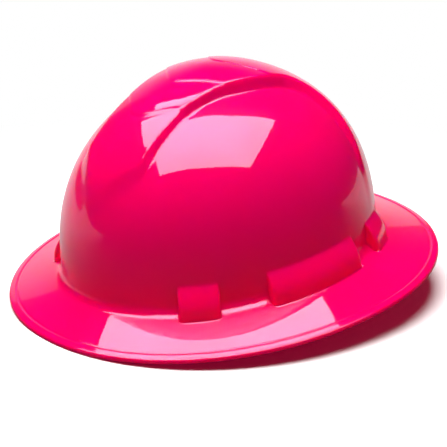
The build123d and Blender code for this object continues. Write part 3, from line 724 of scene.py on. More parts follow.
def steps(count: int) -> np.ndarray:
    """Even shares above 0 up to 1, as a column."""
    return np.linspace(0.0, 1.0, count + 1)[1:, None]


def bell(value: np.ndarray, width: float) -> np.ndarray:
    """A bell curve: 1 at 0, falling by the square of the value over the width."""
    return np.exp(-((value / width) ** 2))


def soft_step(value: np.ndarray, low: float, high: float) -> np.ndarray:
    """Rises smoothly from 0 at low to 1 at high: 3 u squared less 2 u cubed."""
    u = np.clip((value - low) / (high - low), 0.0, 1.0)
    return u * u * (3.0 - 2.0 * u)


def signed_power(value: np.ndarray, power: float) -> np.ndarray:
    """The value's size raised to a power, with its sign kept."""
    return np.sign(value) * np.abs(value) ** power


# Shell


@dataclass
class Crown:
    """Height of the dome over a plan point: side domes, raised middle panel and its chevrons."""

    side_height: float = 146.0
    panel_height: float = 150.9
    level_rise: float = 1.2
    level_reach: float = 30.0
    step: float = 0.65
    step_width: float = 1.5
    noses: tuple[float, ...] = (-64.0, -30.0, 8.0)
    nose_angle: float = 50.0
    nose_round: float = 9.0
    front_reach: float = 110.0
    front_angle: float = 48.0
    front_round: float = 6.0
    front_soft: float = 9.0
    flare_radius: float = 34.0
    flare_start: float = 40.0
    flare_soft: float = 7.0
    stations: tuple[float, ...] = (-90.0, -75.0, -60.0, -45.0, -30.0, -15.0, 0.0, 15.0, 30.0, 45.0)
    half_widths: tuple[float, ...] = (31.0, 30.2, 30.0, 29.6, 31.0, 32.6, 34.8, 35.8, 35.8, 35.2)
    wall_widths: tuple[float, ...] = (4.0, 4.0, 4.0, 4.4, 3.6, 4.2, 5.6, 5.4, 5.6, 6.0)

    def chevron(self, x: np.ndarray, y: np.ndarray, nose: float, angle: float, rounding: float) -> np.ndarray:
        """Distance behind a V line with a rounded tip at the nose.

        It is y less the nose by the angle's sine, less the rounded size of x by its cosine.
        """
        bowed = np.sqrt(x * x + rounding * rounding) - rounding
        turn = math.radians(angle)
        return (y - nose) * math.sin(turn) - bowed * math.cos(turn)

    def side(self, x: np.ndarray, y: np.ndarray) -> tuple[np.ndarray, np.ndarray]:
        """Distance inside the panel's side edge and the width of the wall there.

        Args:
            x: Plan x.
            y: Plan y.

        Returns:
            Distance and wall width. The edge runs straight from station to station up to the
            flare's start, then turns out to the side in a quarter circle.
        """
        half = np.interp(y, self.stations, self.half_widths)
        width = np.interp(y, self.stations, self.wall_widths)
        straight = half - np.abs(x)
        centre = self.half_widths[-1] + self.flare_radius
        bent = np.hypot(np.abs(x) - centre, y - self.flare_start) - self.flare_radius
        behind = y - self.flare_start - self.flare_radius
        flare = np.where(np.abs(x) < centre, bent, behind)
        ahead = y < self.flare_start
        return np.where(ahead, straight, flare), np.where(ahead, width, self.flare_soft)

    def height(self, x: np.ndarray, y: np.ndarray) -> np.ndarray:
        """The dome's height parameter at plan points: side height plus masks times the rises.

        The panel's rise grows with the square of x, which levels its section.
        """
        edge, width = self.side(x, y)
        inside = soft_step(edge / width, -0.5, 0.5)
        front = self.chevron(x, y, -self.front_reach, self.front_angle, self.front_round)
        inside = inside * soft_step(front, -self.front_soft / 2, self.front_soft / 2)
        rise = self.panel_height - self.side_height + self.level_rise * (x / self.level_reach) ** 2
        for nose in self.noses:
            behind = self.chevron(x, y, nose, self.nose_angle, self.nose_round)
            rise = rise + self.step * soft_step(behind, -self.step_width / 2, self.step_width / 2)
        return self.side_height + inside * rise


@dataclass
class Block:
    """One block moulded on the foot of the dome, by its middle's angle from the front and width."""

    azimuth: float
    width: float


@dataclass
class Shell:
    """The moulded shell as one closed surface: outer dome, brim, lip, underside, inner dome."""

    half_width: float = 147.2
    half_length: float = 160.0
    outline_power: float = 2.104
    egg: float = 0.03
    dome_half_width: float = 102.0
    dome_half_length: float = 121.9
    dome_power: float = 2.08
    base_height: float = 15.6
    height_power: float = 2.401
    radius_power: float = 1.787
    wall: float = 2.5
    brim_wall: float = 2.4
    edge_height: float = 2.4
    edge_round: float = 0.9
    edge_profile: tuple[tuple[float, float], ...] = ((1.0, 0.0), (0.4, 0.25), (0.0, 1.0))
    wall_profile: tuple[tuple[float, float], ...] = ((0.0, 0.9), (0.1, 0.25), (0.5, 0.0))
    lip_width: float = 3.0
    band_width: float = 6.5
    band_step: float = 0.45
    band_crease: float = 0.8
    band_groove: float = -1.1
    fillet: float = 8.0
    proud: float = 9.0
    block_top: float = 36.0
    block_slope: float = 0.8
    block_blend: float = 6.0
    block_face: float = 9.8
    dome_rows: int = 200
    crown_share: float = 0.7
    crown_density: float = 0.9
    fillet_rows: int = 10
    brim_rows: int = 16
    inner_rows: int = 56
    spacing: float = 2.7
    foot_samples: int = 7201
    corner_places: tuple[float, ...] = (-4.0, -2.2, -1.1, -0.4, 0.0, 0.3, 0.6, 1.0, 1.6, 2.4, 3.4, 5.0)
    corner_clear: float = 0.6
    closest: float = 0.05
    corner_ease: tuple[float, float] = (-0.2, 0.5)
    corner_wall: float = 0.66
    corner_start: float = 0.3
    corner_round: float = 3.2
    profile_samples: int = 4000
    profile_radius: float = 112.0
    profile_height: float = 130.0
    lip_turn: float = 0.3
    under_rows: int = 6
    under_start: float = 0.2
    wall_inset: float = 1.2
    lowest_share: float = 0.012
    crown: Crown = field(default_factory=Crown)
    blocks: tuple[Block, ...] = tuple(
        Block(hand * azimuth, width)
        for hand in (1.0, -1.0)
        for azimuth, width in ((42.3, 27.4), (88.8, 79.0), (130.2, 27.5))
    )

    def foot(self, turn: np.ndarray, inset: float = 0.0) -> np.ndarray:
        """Foot of the dome: a superellipse, x from the sine and y from minus the cosine."""
        x = (self.dome_half_width - inset) * signed_power(np.sin(turn), 2 / self.dome_power)
        y = -(self.dome_half_length - inset) * signed_power(np.cos(turn), 2 / self.dome_power)
        return np.stack([x, y], axis=-1)

    def rim(self, turn: np.ndarray) -> np.ndarray:
        """Edge of the brim: a superellipse whose width grows a little to the back."""
        y = -signed_power(np.cos(turn), 2 / self.outline_power)
        x = signed_power(np.sin(turn), 2 / self.outline_power) * (1 + self.egg * y)
        return np.stack([self.half_width * x, self.half_length * y], axis=-1)

    def perimeter(self) -> tuple[np.ndarray, np.ndarray]:
        """Turns from the front all round, and the length along the dome's foot at each."""
        turns = np.linspace(0.0, 2 * math.pi, self.foot_samples)
        paces = np.linalg.norm(np.diff(self.foot(turns), axis=0), axis=1)
        return turns, np.concatenate([[0.0], np.cumsum(paces)])

    def block_middle(self, block: Block, turns: np.ndarray, lengths: np.ndarray) -> float:
        """Length along the foot at a block's middle."""
        foot = self.foot(turns)
        angles = np.unwrap(np.arctan2(foot[:, 0], -foot[:, 1]))
        return float(np.interp(math.radians(block.azimuth % 360.0), angles, lengths))

    def columns(self) -> tuple[np.ndarray, np.ndarray]:
        """Turns of the columns, close together at the ends of the blocks, and their block masks.

        Returns:
            Turns, and for each the share of the block's full stand-out: about two thirds from a
            steep wall and the rest from a quarter round.
        """
        turns, lengths = self.perimeter()
        whole = lengths[-1]
        near = np.array(self.corner_places)
        middles = np.array([self.block_middle(block, turns, lengths) for block in self.blocks])[:, None]
        halves = np.array([block.width / 2 for block in self.blocks])[:, None]
        marks = np.sort(np.concatenate([middles - halves + near, middles + halves - near]).ravel() % whole)
        even = np.arange(0.0, whole, self.spacing)
        gap = np.abs((even[:, None] - marks[None, :] + whole / 2) % whole - whole / 2).min(axis=1)
        places = np.sort(np.concatenate([even[gap > self.spacing * self.corner_clear], marks]))
        places = places[np.concatenate([[True], np.diff(places) > self.closest])]
        if len(places) % 2:
            places = np.delete(places, np.argmin(np.diff(places)))
        inside = halves - np.abs((places - middles + whole / 2) % whole - whole / 2)
        wall = soft_step(inside, *self.corner_ease) * self.corner_wall
        rounding = np.clip((inside - self.corner_start) / self.corner_round, 0.0, 1.0)
        stand = wall + (1 - self.corner_wall) * np.sqrt(1 - (1 - rounding) ** 2)
        return np.interp(places, lengths, turns), stand.max(axis=0)

    def dome(self, turn: np.ndarray, share: np.ndarray, inset: float) -> np.ndarray:
        """Points of a dome: plan radius from the height share s by (1 - s^p)^(1/q).

        Args:
            turn: Turns, shape (columns,).
            share: Height shares from 1 at the top, shape (rows, columns).
            inset: How far the dome lies inside the outer one.

        Returns:
            Array (rows, columns, 3).
        """
        radius = np.clip(1 - share**self.height_power, 0.0, 1.0) ** (1 / self.radius_power)
        plan = self.foot(turn, inset)[None] * radius[..., None]
        height = self.crown.height(plan[..., 0], plan[..., 1]) - inset
        return at_height(plan, self.base_height + share * (height - self.base_height))

    def shares(self, count: int) -> np.ndarray:
        """Height shares along the dome's profile, from the top down to 0, closer on the crown."""
        s = 1 - np.linspace(0.0, 1.0, self.profile_samples) ** 2
        radius = np.clip(1 - s**self.height_power, 0.0, 1.0) ** (1 / self.radius_power)
        paces = np.hypot(np.diff(radius * self.profile_radius), np.diff(s * self.profile_height))
        paces = paces * (1.0 + self.crown_density * (s[1:] > self.crown_share))
        along = np.concatenate([[0.0], np.cumsum(paces)])
        return np.interp(np.linspace(0.0, along[-1], count + 1)[1:], along, s)

    def stand(self, height: np.ndarray) -> np.ndarray:
        """How far a block stands out at a height: a slope from its top, rounded into an upright face.

        The lesser of slope and face is taken with a soft corner: half of their sum less the
        hypotenuse of their difference and the blend.
        """
        slope = self.block_slope * (self.block_top - height)
        corner = np.hypot(slope - self.block_face, self.block_blend)
        return np.clip((slope + self.block_face - corner) / 2, 0.0, None)

    def spokes(self, turn: np.ndarray) -> tuple[np.ndarray, np.ndarray, np.ndarray, np.ndarray]:
        """Lines from the dome's foot to the rim.

        Args:
            turn: Turns, shape (columns,).

        Returns:
            Foot points, unit directions, lengths, and the brim's fall for each millimetre out.
        """
        foot, rim = self.foot(turn), self.rim(turn)
        reach = np.linalg.norm(rim - foot, axis=1)
        return foot, (rim - foot) / reach[:, None], reach, (self.base_height - self.edge_height) / reach

    def foot_rows(
        self, centre: np.ndarray, fall: np.ndarray, mask: np.ndarray
    ) -> tuple[np.ndarray, np.ndarray]:
        """Levels and heights of the rows from the dome down to the brim.

        Between blocks they follow the fillet's arc, and at a block they go down its upright face.

        Args:
            centre: Height of the arc's centre at each column.
            fall: The brim's fall for each millimetre out.
            mask: The block's share at each column.

        Returns:
            Levels out from the foot and heights, both (rows, columns).
        """
        step = steps(self.fillet_rows)
        angle = step * np.arctan(1 / fall)[None]
        level = self.fillet * (1 - np.cos(angle))
        height = centre[None] - self.fillet * np.sin(angle)
        bottom = self.base_height - fall * self.proud
        face = centre[None] + (bottom - centre)[None] * step
        weight = np.clip(2 * mask, 0.0, 1.0)[None]
        level = level + (self.stand(face) * mask[None] - level) * weight
        return level, height + (face - height) * weight

    def brim_rows_at(
        self, begin: np.ndarray, reach: np.ndarray, fall: np.ndarray
    ) -> tuple[np.ndarray, np.ndarray]:
        """Levels and heights of the rows over the brim, the rim band's groove and step, and the edge.

        The edge's profile gives places in from the rim and drops, both as shares of its rounding;
        the wall's gives places in from the rim and heights, in millimetres.

        Args:
            begin: Level at which the brim starts.
            reach: Length of each spoke.
            fall: The brim's fall for each millimetre out.

        Returns:
            Levels out from the foot and heights, both (rows, columns).
        """
        inner = reach - self.band_width
        brim = begin[None] + steps(self.brim_rows) * (inner - self.band_crease - begin)[None]
        band = inner + self.band_crease * np.arange(4)[:, None]
        edge_in, edge_ease = np.array(self.edge_profile).T[..., None] * self.edge_round
        last = reach - self.edge_round - self.band_crease
        top = np.concatenate([brim, band, last[None], reach - edge_in])
        rise = np.zeros((len(top), 1))
        rise[len(brim) + 1 :] = self.band_step
        rise[len(brim) + 1] *= self.band_groove
        rise[-len(edge_ease) :] -= edge_ease
        wall_in, wall_height = np.array(self.wall_profile).T[..., None]
        height = self.base_height - fall[None] * top + rise
        wall_height = wall_height * np.ones_like(reach)
        return np.concatenate([top, reach - wall_in]), np.concatenate([height, wall_height])

    def outer(self, turn: np.ndarray, mask: np.ndarray) -> np.ndarray:
        """Rows of the outer surface from under the top to the edge's foot, shape (rows, columns, 3)."""
        foot, out, reach, fall = self.spokes(turn)
        centre = self.base_height + self.fillet * (np.sqrt(1 + fall * fall) - fall)
        start = (centre - self.base_height) / (self.crown.side_height - self.base_height)
        share = start[None] + (1 - start[None]) * self.shares(self.dome_rows)[:, None]
        dome = self.dome(turn, share, 0.0)
        stand = self.stand(dome[..., 2]) * mask[None]
        dome[..., :2] += out[None] * stand[..., None]
        foot_level, foot_height = self.foot_rows(centre, fall, mask)
        brim_level, brim_height = self.brim_rows_at(foot_level[-1], reach, fall)
        level = np.concatenate([foot_level, brim_level])
        height = np.concatenate([foot_height, brim_height])
        return np.concatenate([dome, at_height(foot[None] + out[None] * level[..., None], height)])

    def inner(self, turn: np.ndarray) -> np.ndarray:
        """Rows of the inner surface from the lip under the edge up to under the inner top."""
        foot, out, reach, fall = self.spokes(turn)
        lip = reach - self.lip_width
        share = np.linspace(self.under_start, 1.0, self.under_rows)[:, None]
        under = lip * (1 - share) - (self.wall - self.wall_inset) * share
        level = np.concatenate([lip[None], lip[None] - self.lip_turn, under])
        corner = self.edge_height + fall * (self.lip_width + self.lip_turn) - self.brim_wall
        slope = self.base_height - fall * under - self.brim_wall
        height = np.concatenate([np.zeros_like(reach)[None], corner[None], slope])
        share = np.maximum(self.shares(self.inner_rows)[::-1], self.lowest_share)[:, None]
        dome = self.dome(turn, share * np.ones_like(reach)[None], self.wall)
        return np.concatenate([at_height(foot[None] + out[None] * level[..., None], height), dome])

    def build(self) -> bpy.types.Object:
        """Joins outer and inner rows into one closed mesh with a fan at each pole.

        The inner rows have half as many columns, so three triangles join each pair at the edge.
        """
        turn, mask = self.columns()
        outer, inner = self.outer(turn, mask), self.inner(turn[::2])
        count, half = len(turn), len(turn) // 2
        top = self.crown.height(np.zeros(1), np.zeros(1))[0]
        poles = [[0.0, 0.0, top], [0.0, 0.0, top - self.wall]]
        points = np.concatenate([outer.reshape(-1, 3), inner.reshape(-1, 3), poles])
        first_inner, pole = outer.shape[0] * count, len(points) - 2
        faces = grid_quads(outer.shape[0], count, True) + grid_quads(inner.shape[0], half, True, first_inner)
        faces += fan(pole, 0, count)
        pair, edge = np.arange(half), first_inner - count
        a, b, c = edge + 2 * pair, edge + 2 * pair + 1, edge + (2 * pair + 2) % count
        p, q = first_inner + pair, first_inner + (pair + 1) % half
        faces += np.stack([a, p, b, b, p, q, b, q, c], axis=-1).reshape(-1, 3).tolist()
        faces += fan(pole + 1, pole - half, half, True)
        made = add_mesh("shell_surface", STANCE.to_row(points), faces)
        LOG.info("shell: %d columns, %d faces", count, len(faces))
        return made

    def dress(self, finish: bpy.types.Material) -> bpy.types.Object:
        """Builds the shell and puts it in place of its solid."""
        made = self.build()
        made.data.materials.append(finish)
        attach(made, Body.HAT.value)
        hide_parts("shell")
        return made


# Soft goods


@dataclass
class CrownStrap:
    """A woven strap: two quarter ovals over the head, and a sewn loop round a bar at each end."""

    name: str
    start: np.ndarray
    end: np.ndarray
    rise: float
    width: float = 18.8
    thickness: float = 1.24
    solid_thickness: float = 1.3
    edge: float = 0.45
    top: float = 112.0
    bar_height: float = 34.6
    bar_depth: float = 10.2
    ring_radius: float = 2.75
    ring_steps: int = 32
    oval_steps: int = 110
    stitch_first: float = 4.5
    stitch_pitch: float = 3.0
    stitch_count: int = 5
    stitch_length: float = 2.0
    stitch_width: float = 0.5
    stitch_height: float = 0.2
    stitch_spread: float = 6.4
    stitch_taper: float = 0.6

    @property
    def crossing(self) -> float:
        """Length along the strap's plan line at which it crosses the middle of the hat."""
        share = self.start[0] / (self.start[0] - self.end[0])
        return float(np.linalg.norm(self.end - self.start) * share)

    def loop(self, middle: float, turn: np.ndarray) -> np.ndarray:
        """Points round a bar at a middle along the strap, at turns from the far side."""
        along = middle + self.ring_radius * np.cos(turn)
        return np.stack([along, self.ring_radius * np.sin(turn)], axis=-1)

    def line(self) -> np.ndarray:
        """Middle line in the strap's upright plane: ring, quarter oval, quarter oval, ring."""
        span = float(np.linalg.norm(self.end - self.start))
        begin = self.bar_depth + self.ring_radius
        rise = self.top + self.rise - self.solid_thickness / 2 - self.bar_height
        turn = np.linspace(0.0, 2 * math.pi, self.ring_steps + 1)
        up = np.linspace(0.0, math.pi / 2, self.oval_steps + 1)[1:]
        first, second = self.crossing - begin, span - begin - self.crossing
        climb = np.stack([self.crossing - first * np.cos(up), rise * np.sin(up)], axis=-1)
        fall = np.stack([self.crossing + second * np.sin(up), rise * np.cos(up)], axis=-1)
        near, far = self.loop(self.bar_depth, turn), self.loop(span - self.bar_depth, turn[1:] + math.pi)
        path = np.concatenate([near, climb, fall, far])
        path[:, 1] += self.bar_height
        return path

    def section(self) -> np.ndarray:
        """Section of the strap, places across and offsets from its middle, with rounded edges."""
        wide, deep = self.width / 2 - self.edge, self.thickness / 2 - self.edge
        turn = np.linspace(0.0, math.pi / 2, 4)
        corner = np.stack([wide + self.edge * np.sin(turn), deep + self.edge * np.cos(turn)], axis=-1)
        flat = np.stack([np.linspace(-wide, wide, 9)[1:-1], np.full(7, self.thickness / 2)], axis=-1)
        upper = np.concatenate([(corner * [-1, 1])[::-1], flat, corner])
        return np.concatenate([upper, (upper * [1, -1])[::-1]])

    def build(self) -> tuple[bpy.types.Object, np.ndarray]:
        """Sweeps the section along the line and adds the stitches; returns the object and its UVs."""
        path = self.line()
        tangent = np.gradient(path, axis=0)
        tangent /= np.linalg.norm(tangent, axis=1)[:, None]
        normal = np.stack([-tangent[:, 1], tangent[:, 0]], axis=-1)
        length = np.concatenate([[0.0], np.cumsum(np.linalg.norm(np.diff(path, axis=0), axis=1))])
        section = self.section()
        flat = path[:, None] + normal[:, None] * section[None, :, 1:]
        across = np.broadcast_to(section[None, :, 0], flat.shape[:2])
        points = self.to_hat(flat, across)
        spots = np.stack(np.broadcast_arrays(length[:, None], across / self.width + 0.5), axis=-1)
        thread, thread_spots = self.stitches(path, normal, length)
        points = points.reshape(-1, 3)
        faces = tube_faces(len(path), len(section)) + box_faces(len(thread) // 8, len(points))
        points = np.concatenate([points, thread])
        made = add_mesh(self.name, STANCE.to_row(points), faces)
        return made, np.concatenate([spots.reshape(-1, 2), thread_spots])

    def to_hat(self, flat: np.ndarray, across: np.ndarray) -> np.ndarray:
        """Places in the upright plane, and places across it, as points in the hat's frame."""
        along = (self.end - self.start) / np.linalg.norm(self.end - self.start)
        side = np.array([along[1], -along[0]])
        return at_height(self.start + flat[..., :1] * along + across[..., None] * side, flat[..., 1])

    def stitches(
        self, path: np.ndarray, normal: np.ndarray, length: np.ndarray
    ) -> tuple[np.ndarray, np.ndarray]:
        """Rows of stitches that close each loop, on both faces.

        Args:
            path: The middle line.
            normal: Unit normals along it.
            length: Length along it.

        Returns:
            Points of the boxes and their UVs.
        """
        sewn = length[self.ring_steps] + self.stitch_first
        rows = sewn + self.stitch_pitch * np.arange(self.stitch_count)
        places = np.concatenate([rows, length[-1] - rows])
        spread = np.array([-self.stitch_spread, self.stitch_spread])
        bars = np.linspace(*spread, 5)[1:-1]
        ends = np.repeat([rows[0], rows[-1]], len(bars))
        along = np.concatenate([np.repeat(places, 2), ends, length[-1] - ends])
        across = np.concatenate([np.tile(spread, len(places)), np.tile(bars, 4)])
        is_bar = np.arange(len(along)) >= 2 * len(places)
        half_long = np.where(is_bar, self.stitch_width, self.stitch_length) / 2
        half_wide = np.where(is_bar, self.stitch_length, self.stitch_width) / 2
        corners = np.array([[-1, -1], [1, -1], [1, 1], [-1, 1]])
        boxes = []
        for face in (1.0, -1.0):
            for rise, shrink in ((-self.stitch_height, 1.0), (self.stitch_height, self.stitch_taper)):
                u = along[:, None] + corners[:, 0] * half_long[:, None] * shrink
                w = across[:, None] + corners[:, 1] * half_wide[:, None] * shrink * face
                spot = np.stack([np.interp(u, length, path[:, k]) for k in (0, 1)], axis=-1)
                away = np.stack([np.interp(u, length, normal[:, k]) for k in (0, 1)], axis=-1)
                boxes.append(self.to_hat(spot + away * face * (self.thickness / 2 + rise), w))
        points = np.concatenate([np.concatenate(boxes[k : k + 2], axis=1) for k in (0, 2)]).reshape(-1, 3)
        return points, np.full((len(points), 2), 0.5)


@dataclass
class Cushion:
    """A thin foam cushion: crowned puffs between sewn channels, drawn-in edges and rounded ends.

    Its length, width and depth are bent onto the surface that carries it by a subclass's bend.
    """

    name: str
    half_length: float
    half_width: float
    thickness: float
    corner: float
    long_channels: tuple[float, ...] = ()
    cross_channels: tuple[float, ...] = ()
    channel_width: float = 1.5
    channel_depth: float = 1.5
    border: float = 2.6
    border_depth: float = 0.9
    border_spread: float = 0.4
    edge_share: float = 0.42
    back_flat: float = 0.55
    bunching: float = 0.35
    end_share: float = 0.8
    end_limit: float = 0.995
    end_narrowing: float = 0.2
    rim_share: float = 0.9
    rim_power: float = 1.6
    stations: int = 181
    ring: int = 96

    def bend(self, along: np.ndarray, across: np.ndarray, depth: np.ndarray) -> np.ndarray:
        """Puts length, width and depth places on the carrying surface, in the row frame in metres."""
        raise NotImplementedError

    def half_at(self, along: np.ndarray) -> np.ndarray:
        """Half width at a place along: a rectangle with rounded corners."""
        over = np.clip(np.abs(along) - (self.half_length - self.corner), 0.0, self.corner)
        return self.half_width - self.corner + np.sqrt(self.corner**2 - over**2)

    def puff(self, along: np.ndarray, across: np.ndarray, half: np.ndarray) -> np.ndarray:
        """How far the face is drawn in: by the channels, each a bell curve, and by the border's seam."""
        drawn = np.zeros(np.broadcast(along, across).shape)
        for place in self.cross_channels:
            drawn = np.maximum(drawn, self.channel_depth * bell(along - place, self.channel_width))
        for place in self.long_channels:
            drawn = np.maximum(drawn, self.channel_depth * bell(across - place, self.channel_width))
        inside = np.minimum(half - np.abs(across), self.half_length - np.abs(along))
        seam = self.border_depth * bell(inside - self.border, self.border * self.border_spread)
        return np.maximum(drawn, seam)

    def build(self) -> tuple[bpy.types.Object, np.ndarray]:
        """Sweeps an oval-edged section along the length; returns the object and its UVs."""
        share = np.linspace(-1.0, 1.0, self.stations)
        along = self.half_length * (np.sin(share * math.pi / 2) * self.bunching + share * (1 - self.bunching))
        half = self.half_at(along)
        end = self.thickness * self.end_share
        over = np.clip((np.abs(along) - (self.half_length - end)) / end, 0.0, self.end_limit)
        swell = np.sqrt(1 - over**2)
        turn = np.linspace(0.0, 2 * math.pi, self.ring, endpoint=False)
        side = np.sign(np.cos(turn)) * (1 - (1 - np.abs(np.cos(turn))) ** self.rim_power)
        across = side[None] * (half - self.thickness * self.end_narrowing * (1 - swell))[:, None]
        along = np.broadcast_to(along[:, None], across.shape)
        rim = np.clip((half[:, None] - np.abs(across)) / (self.thickness * self.rim_share), 0.0, 1.0)
        bulge = np.sqrt(1 - (1 - rim) ** 2) * swell[:, None]
        middle = self.thickness * self.edge_share
        front = middle + (self.thickness - middle - self.puff(along, across, half[:, None])) * bulge
        back = middle - middle * bulge * (self.back_flat + (1 - self.back_flat) * rim)
        facing = np.round(np.sin(turn), 9)[None]
        depth = np.where(facing > 0.0, front, np.where(facing < 0.0, back, middle))
        points = self.bend(along, across, depth)
        made = add_mesh(self.name, points, tube_faces(self.stations, self.ring))
        return made, np.stack([along, across], axis=-1).reshape(-1, 2)


@dataclass
class CrownCushion(Cushion):
    """The cushion under the straps' crossing, bent over a ball; its face looks down at the head."""

    top: float = 110.4
    ball: float = 100.0
    middle: float = -10.0

    def bend(self, along: np.ndarray, across: np.ndarray, depth: np.ndarray) -> np.ndarray:
        """Depth runs from the ball's surface to its centre."""
        drop = np.sqrt(np.clip(1 - (along**2 + across**2) / self.ball**2, 0.0, 1.0))
        radius = self.ball - depth
        ray = np.stack([across / self.ball, along / self.ball, drop], axis=-1)
        centre = np.array([0.0, self.middle, self.top - self.ball])
        return STANCE.to_row(centre + ray * radius[..., None])


@dataclass
class BrowCushion(Cushion):
    """The sweat pad inside the forehead, bent round the headband; its face looks at the head."""

    outer: float = 60.7
    centre: float = -37.0
    middle: float = 10.2

    def bend(self, along: np.ndarray, across: np.ndarray, depth: np.ndarray) -> np.ndarray:
        """Length runs round the forehead, width upwards and depth towards the head."""
        turn = along / self.outer
        radius = self.outer - depth
        ahead = self.centre - radius * np.cos(turn)
        return STANCE.to_row(np.stack([radius * np.sin(turn), ahead, self.middle + across], axis=-1))


@dataclass
class NapeCushion(Cushion):
    """The pad inside the ratchet plate, bent round the nape; its face looks at the head."""

    outer: float = 79.1

    def bend(self, along: np.ndarray, across: np.ndarray, depth: np.ndarray) -> np.ndarray:
        """Length runs round the nape, width upwards and depth towards the head."""
        turn = along / self.outer
        radius = self.outer - depth
        points = np.stack([-radius * np.sin(turn), radius * np.cos(turn), across], axis=-1)
        return STANCE.nape_to_row(points)


@dataclass
class Suspension:
    """The soft parts inside the shell: two crossed straps and three cushions."""

    shell: Shell
    key_azimuths: tuple[float, float] = (42.3, 130.2)
    strap_gap: float = 2.2
    fill: float = 0.7

    def key(self, azimuth: float, hand: float) -> np.ndarray:
        """Plan point on the dome's foot where a key hangs, by its azimuth and side."""
        width, length = self.shell.dome_half_width, self.shell.dome_half_length
        angle = math.radians(azimuth)
        turn = math.atan2(math.sin(angle) * length, math.cos(angle) * width)
        return np.array([hand * width * math.sin(turn), -length * math.cos(turn)])

    def straps(self) -> list[CrownStrap]:
        """The two straps, lower and upper."""
        front, rear = self.key_azimuths
        return [
            CrownStrap(f"crown_strap_{level}_webbing", self.key(front, hand), self.key(rear, -hand), rise)
            for level, hand, rise in (("lower", 1.0, 0.0), ("upper", -1.0, self.strap_gap))
        ]

    def cushions(self) -> dict[str, tuple[Cushion, Body]]:
        """The three cushions by the solid that each stands for, with the body it rides on."""
        crown = CrownCushion(
            name="crown_pad_cushion",
            half_length=28.6,
            half_width=28.6,
            thickness=4.8,
            corner=13.6,
            long_channels=(-9.6, 9.6),
            cross_channels=(-9.6, 9.6),
            channel_width=1.3,
            channel_depth=1.8,
        )
        brow = BrowCushion(
            name="brow_pad_cushion",
            half_length=67.3,
            half_width=15.0,
            thickness=4.0,
            corner=6.0,
            cross_channels=tuple(16.0 * place for place in range(-3, 4)),
            stations=321,
        )
        nape = NapeCushion(
            name="nape_pad_cushion",
            half_length=34.2,
            half_width=15.3,
            thickness=3.4,
            corner=6.0,
            cross_channels=(-17.0, 0.0, 17.0),
            stations=241,
        )
        return {"crown_pad": (crown, Body.HAT), "brow_pad": (brow, Body.HAT), "nape_pad": (nape, Body.NAPE)}

    def dress(self, finishes: dict[Slot, bpy.types.Material]) -> None:
        """Builds every soft part and puts it in place of its solid.

        Args:
            finishes: Materials by slot.
        """
        for strap, node in zip(self.straps(), ("crown_strap_lower", "crown_strap_upper")):
            made, spots = strap.build()
            self.finish(made, spots, finishes, Slot.WEBBING, Body.HAT, node)
        for node, (cushion, body) in self.cushions().items():
            made, spots = cushion.build()
            self.finish(made, spots, finishes, Slot.PAD, body, node)

    def finish(
        self,
        made: bpy.types.Object,
        spots: np.ndarray,
        finishes: dict[Slot, bpy.types.Material],
        slot: Slot,
        body: Body,
        node: str,
    ) -> None:
        """Gives a soft part its UVs and material, and lets it ride and stand for its solid."""
        give_uv(made, spots)
        made.data.materials.append(finishes[slot])
        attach(made, body.value)
        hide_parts(node)


# Studio


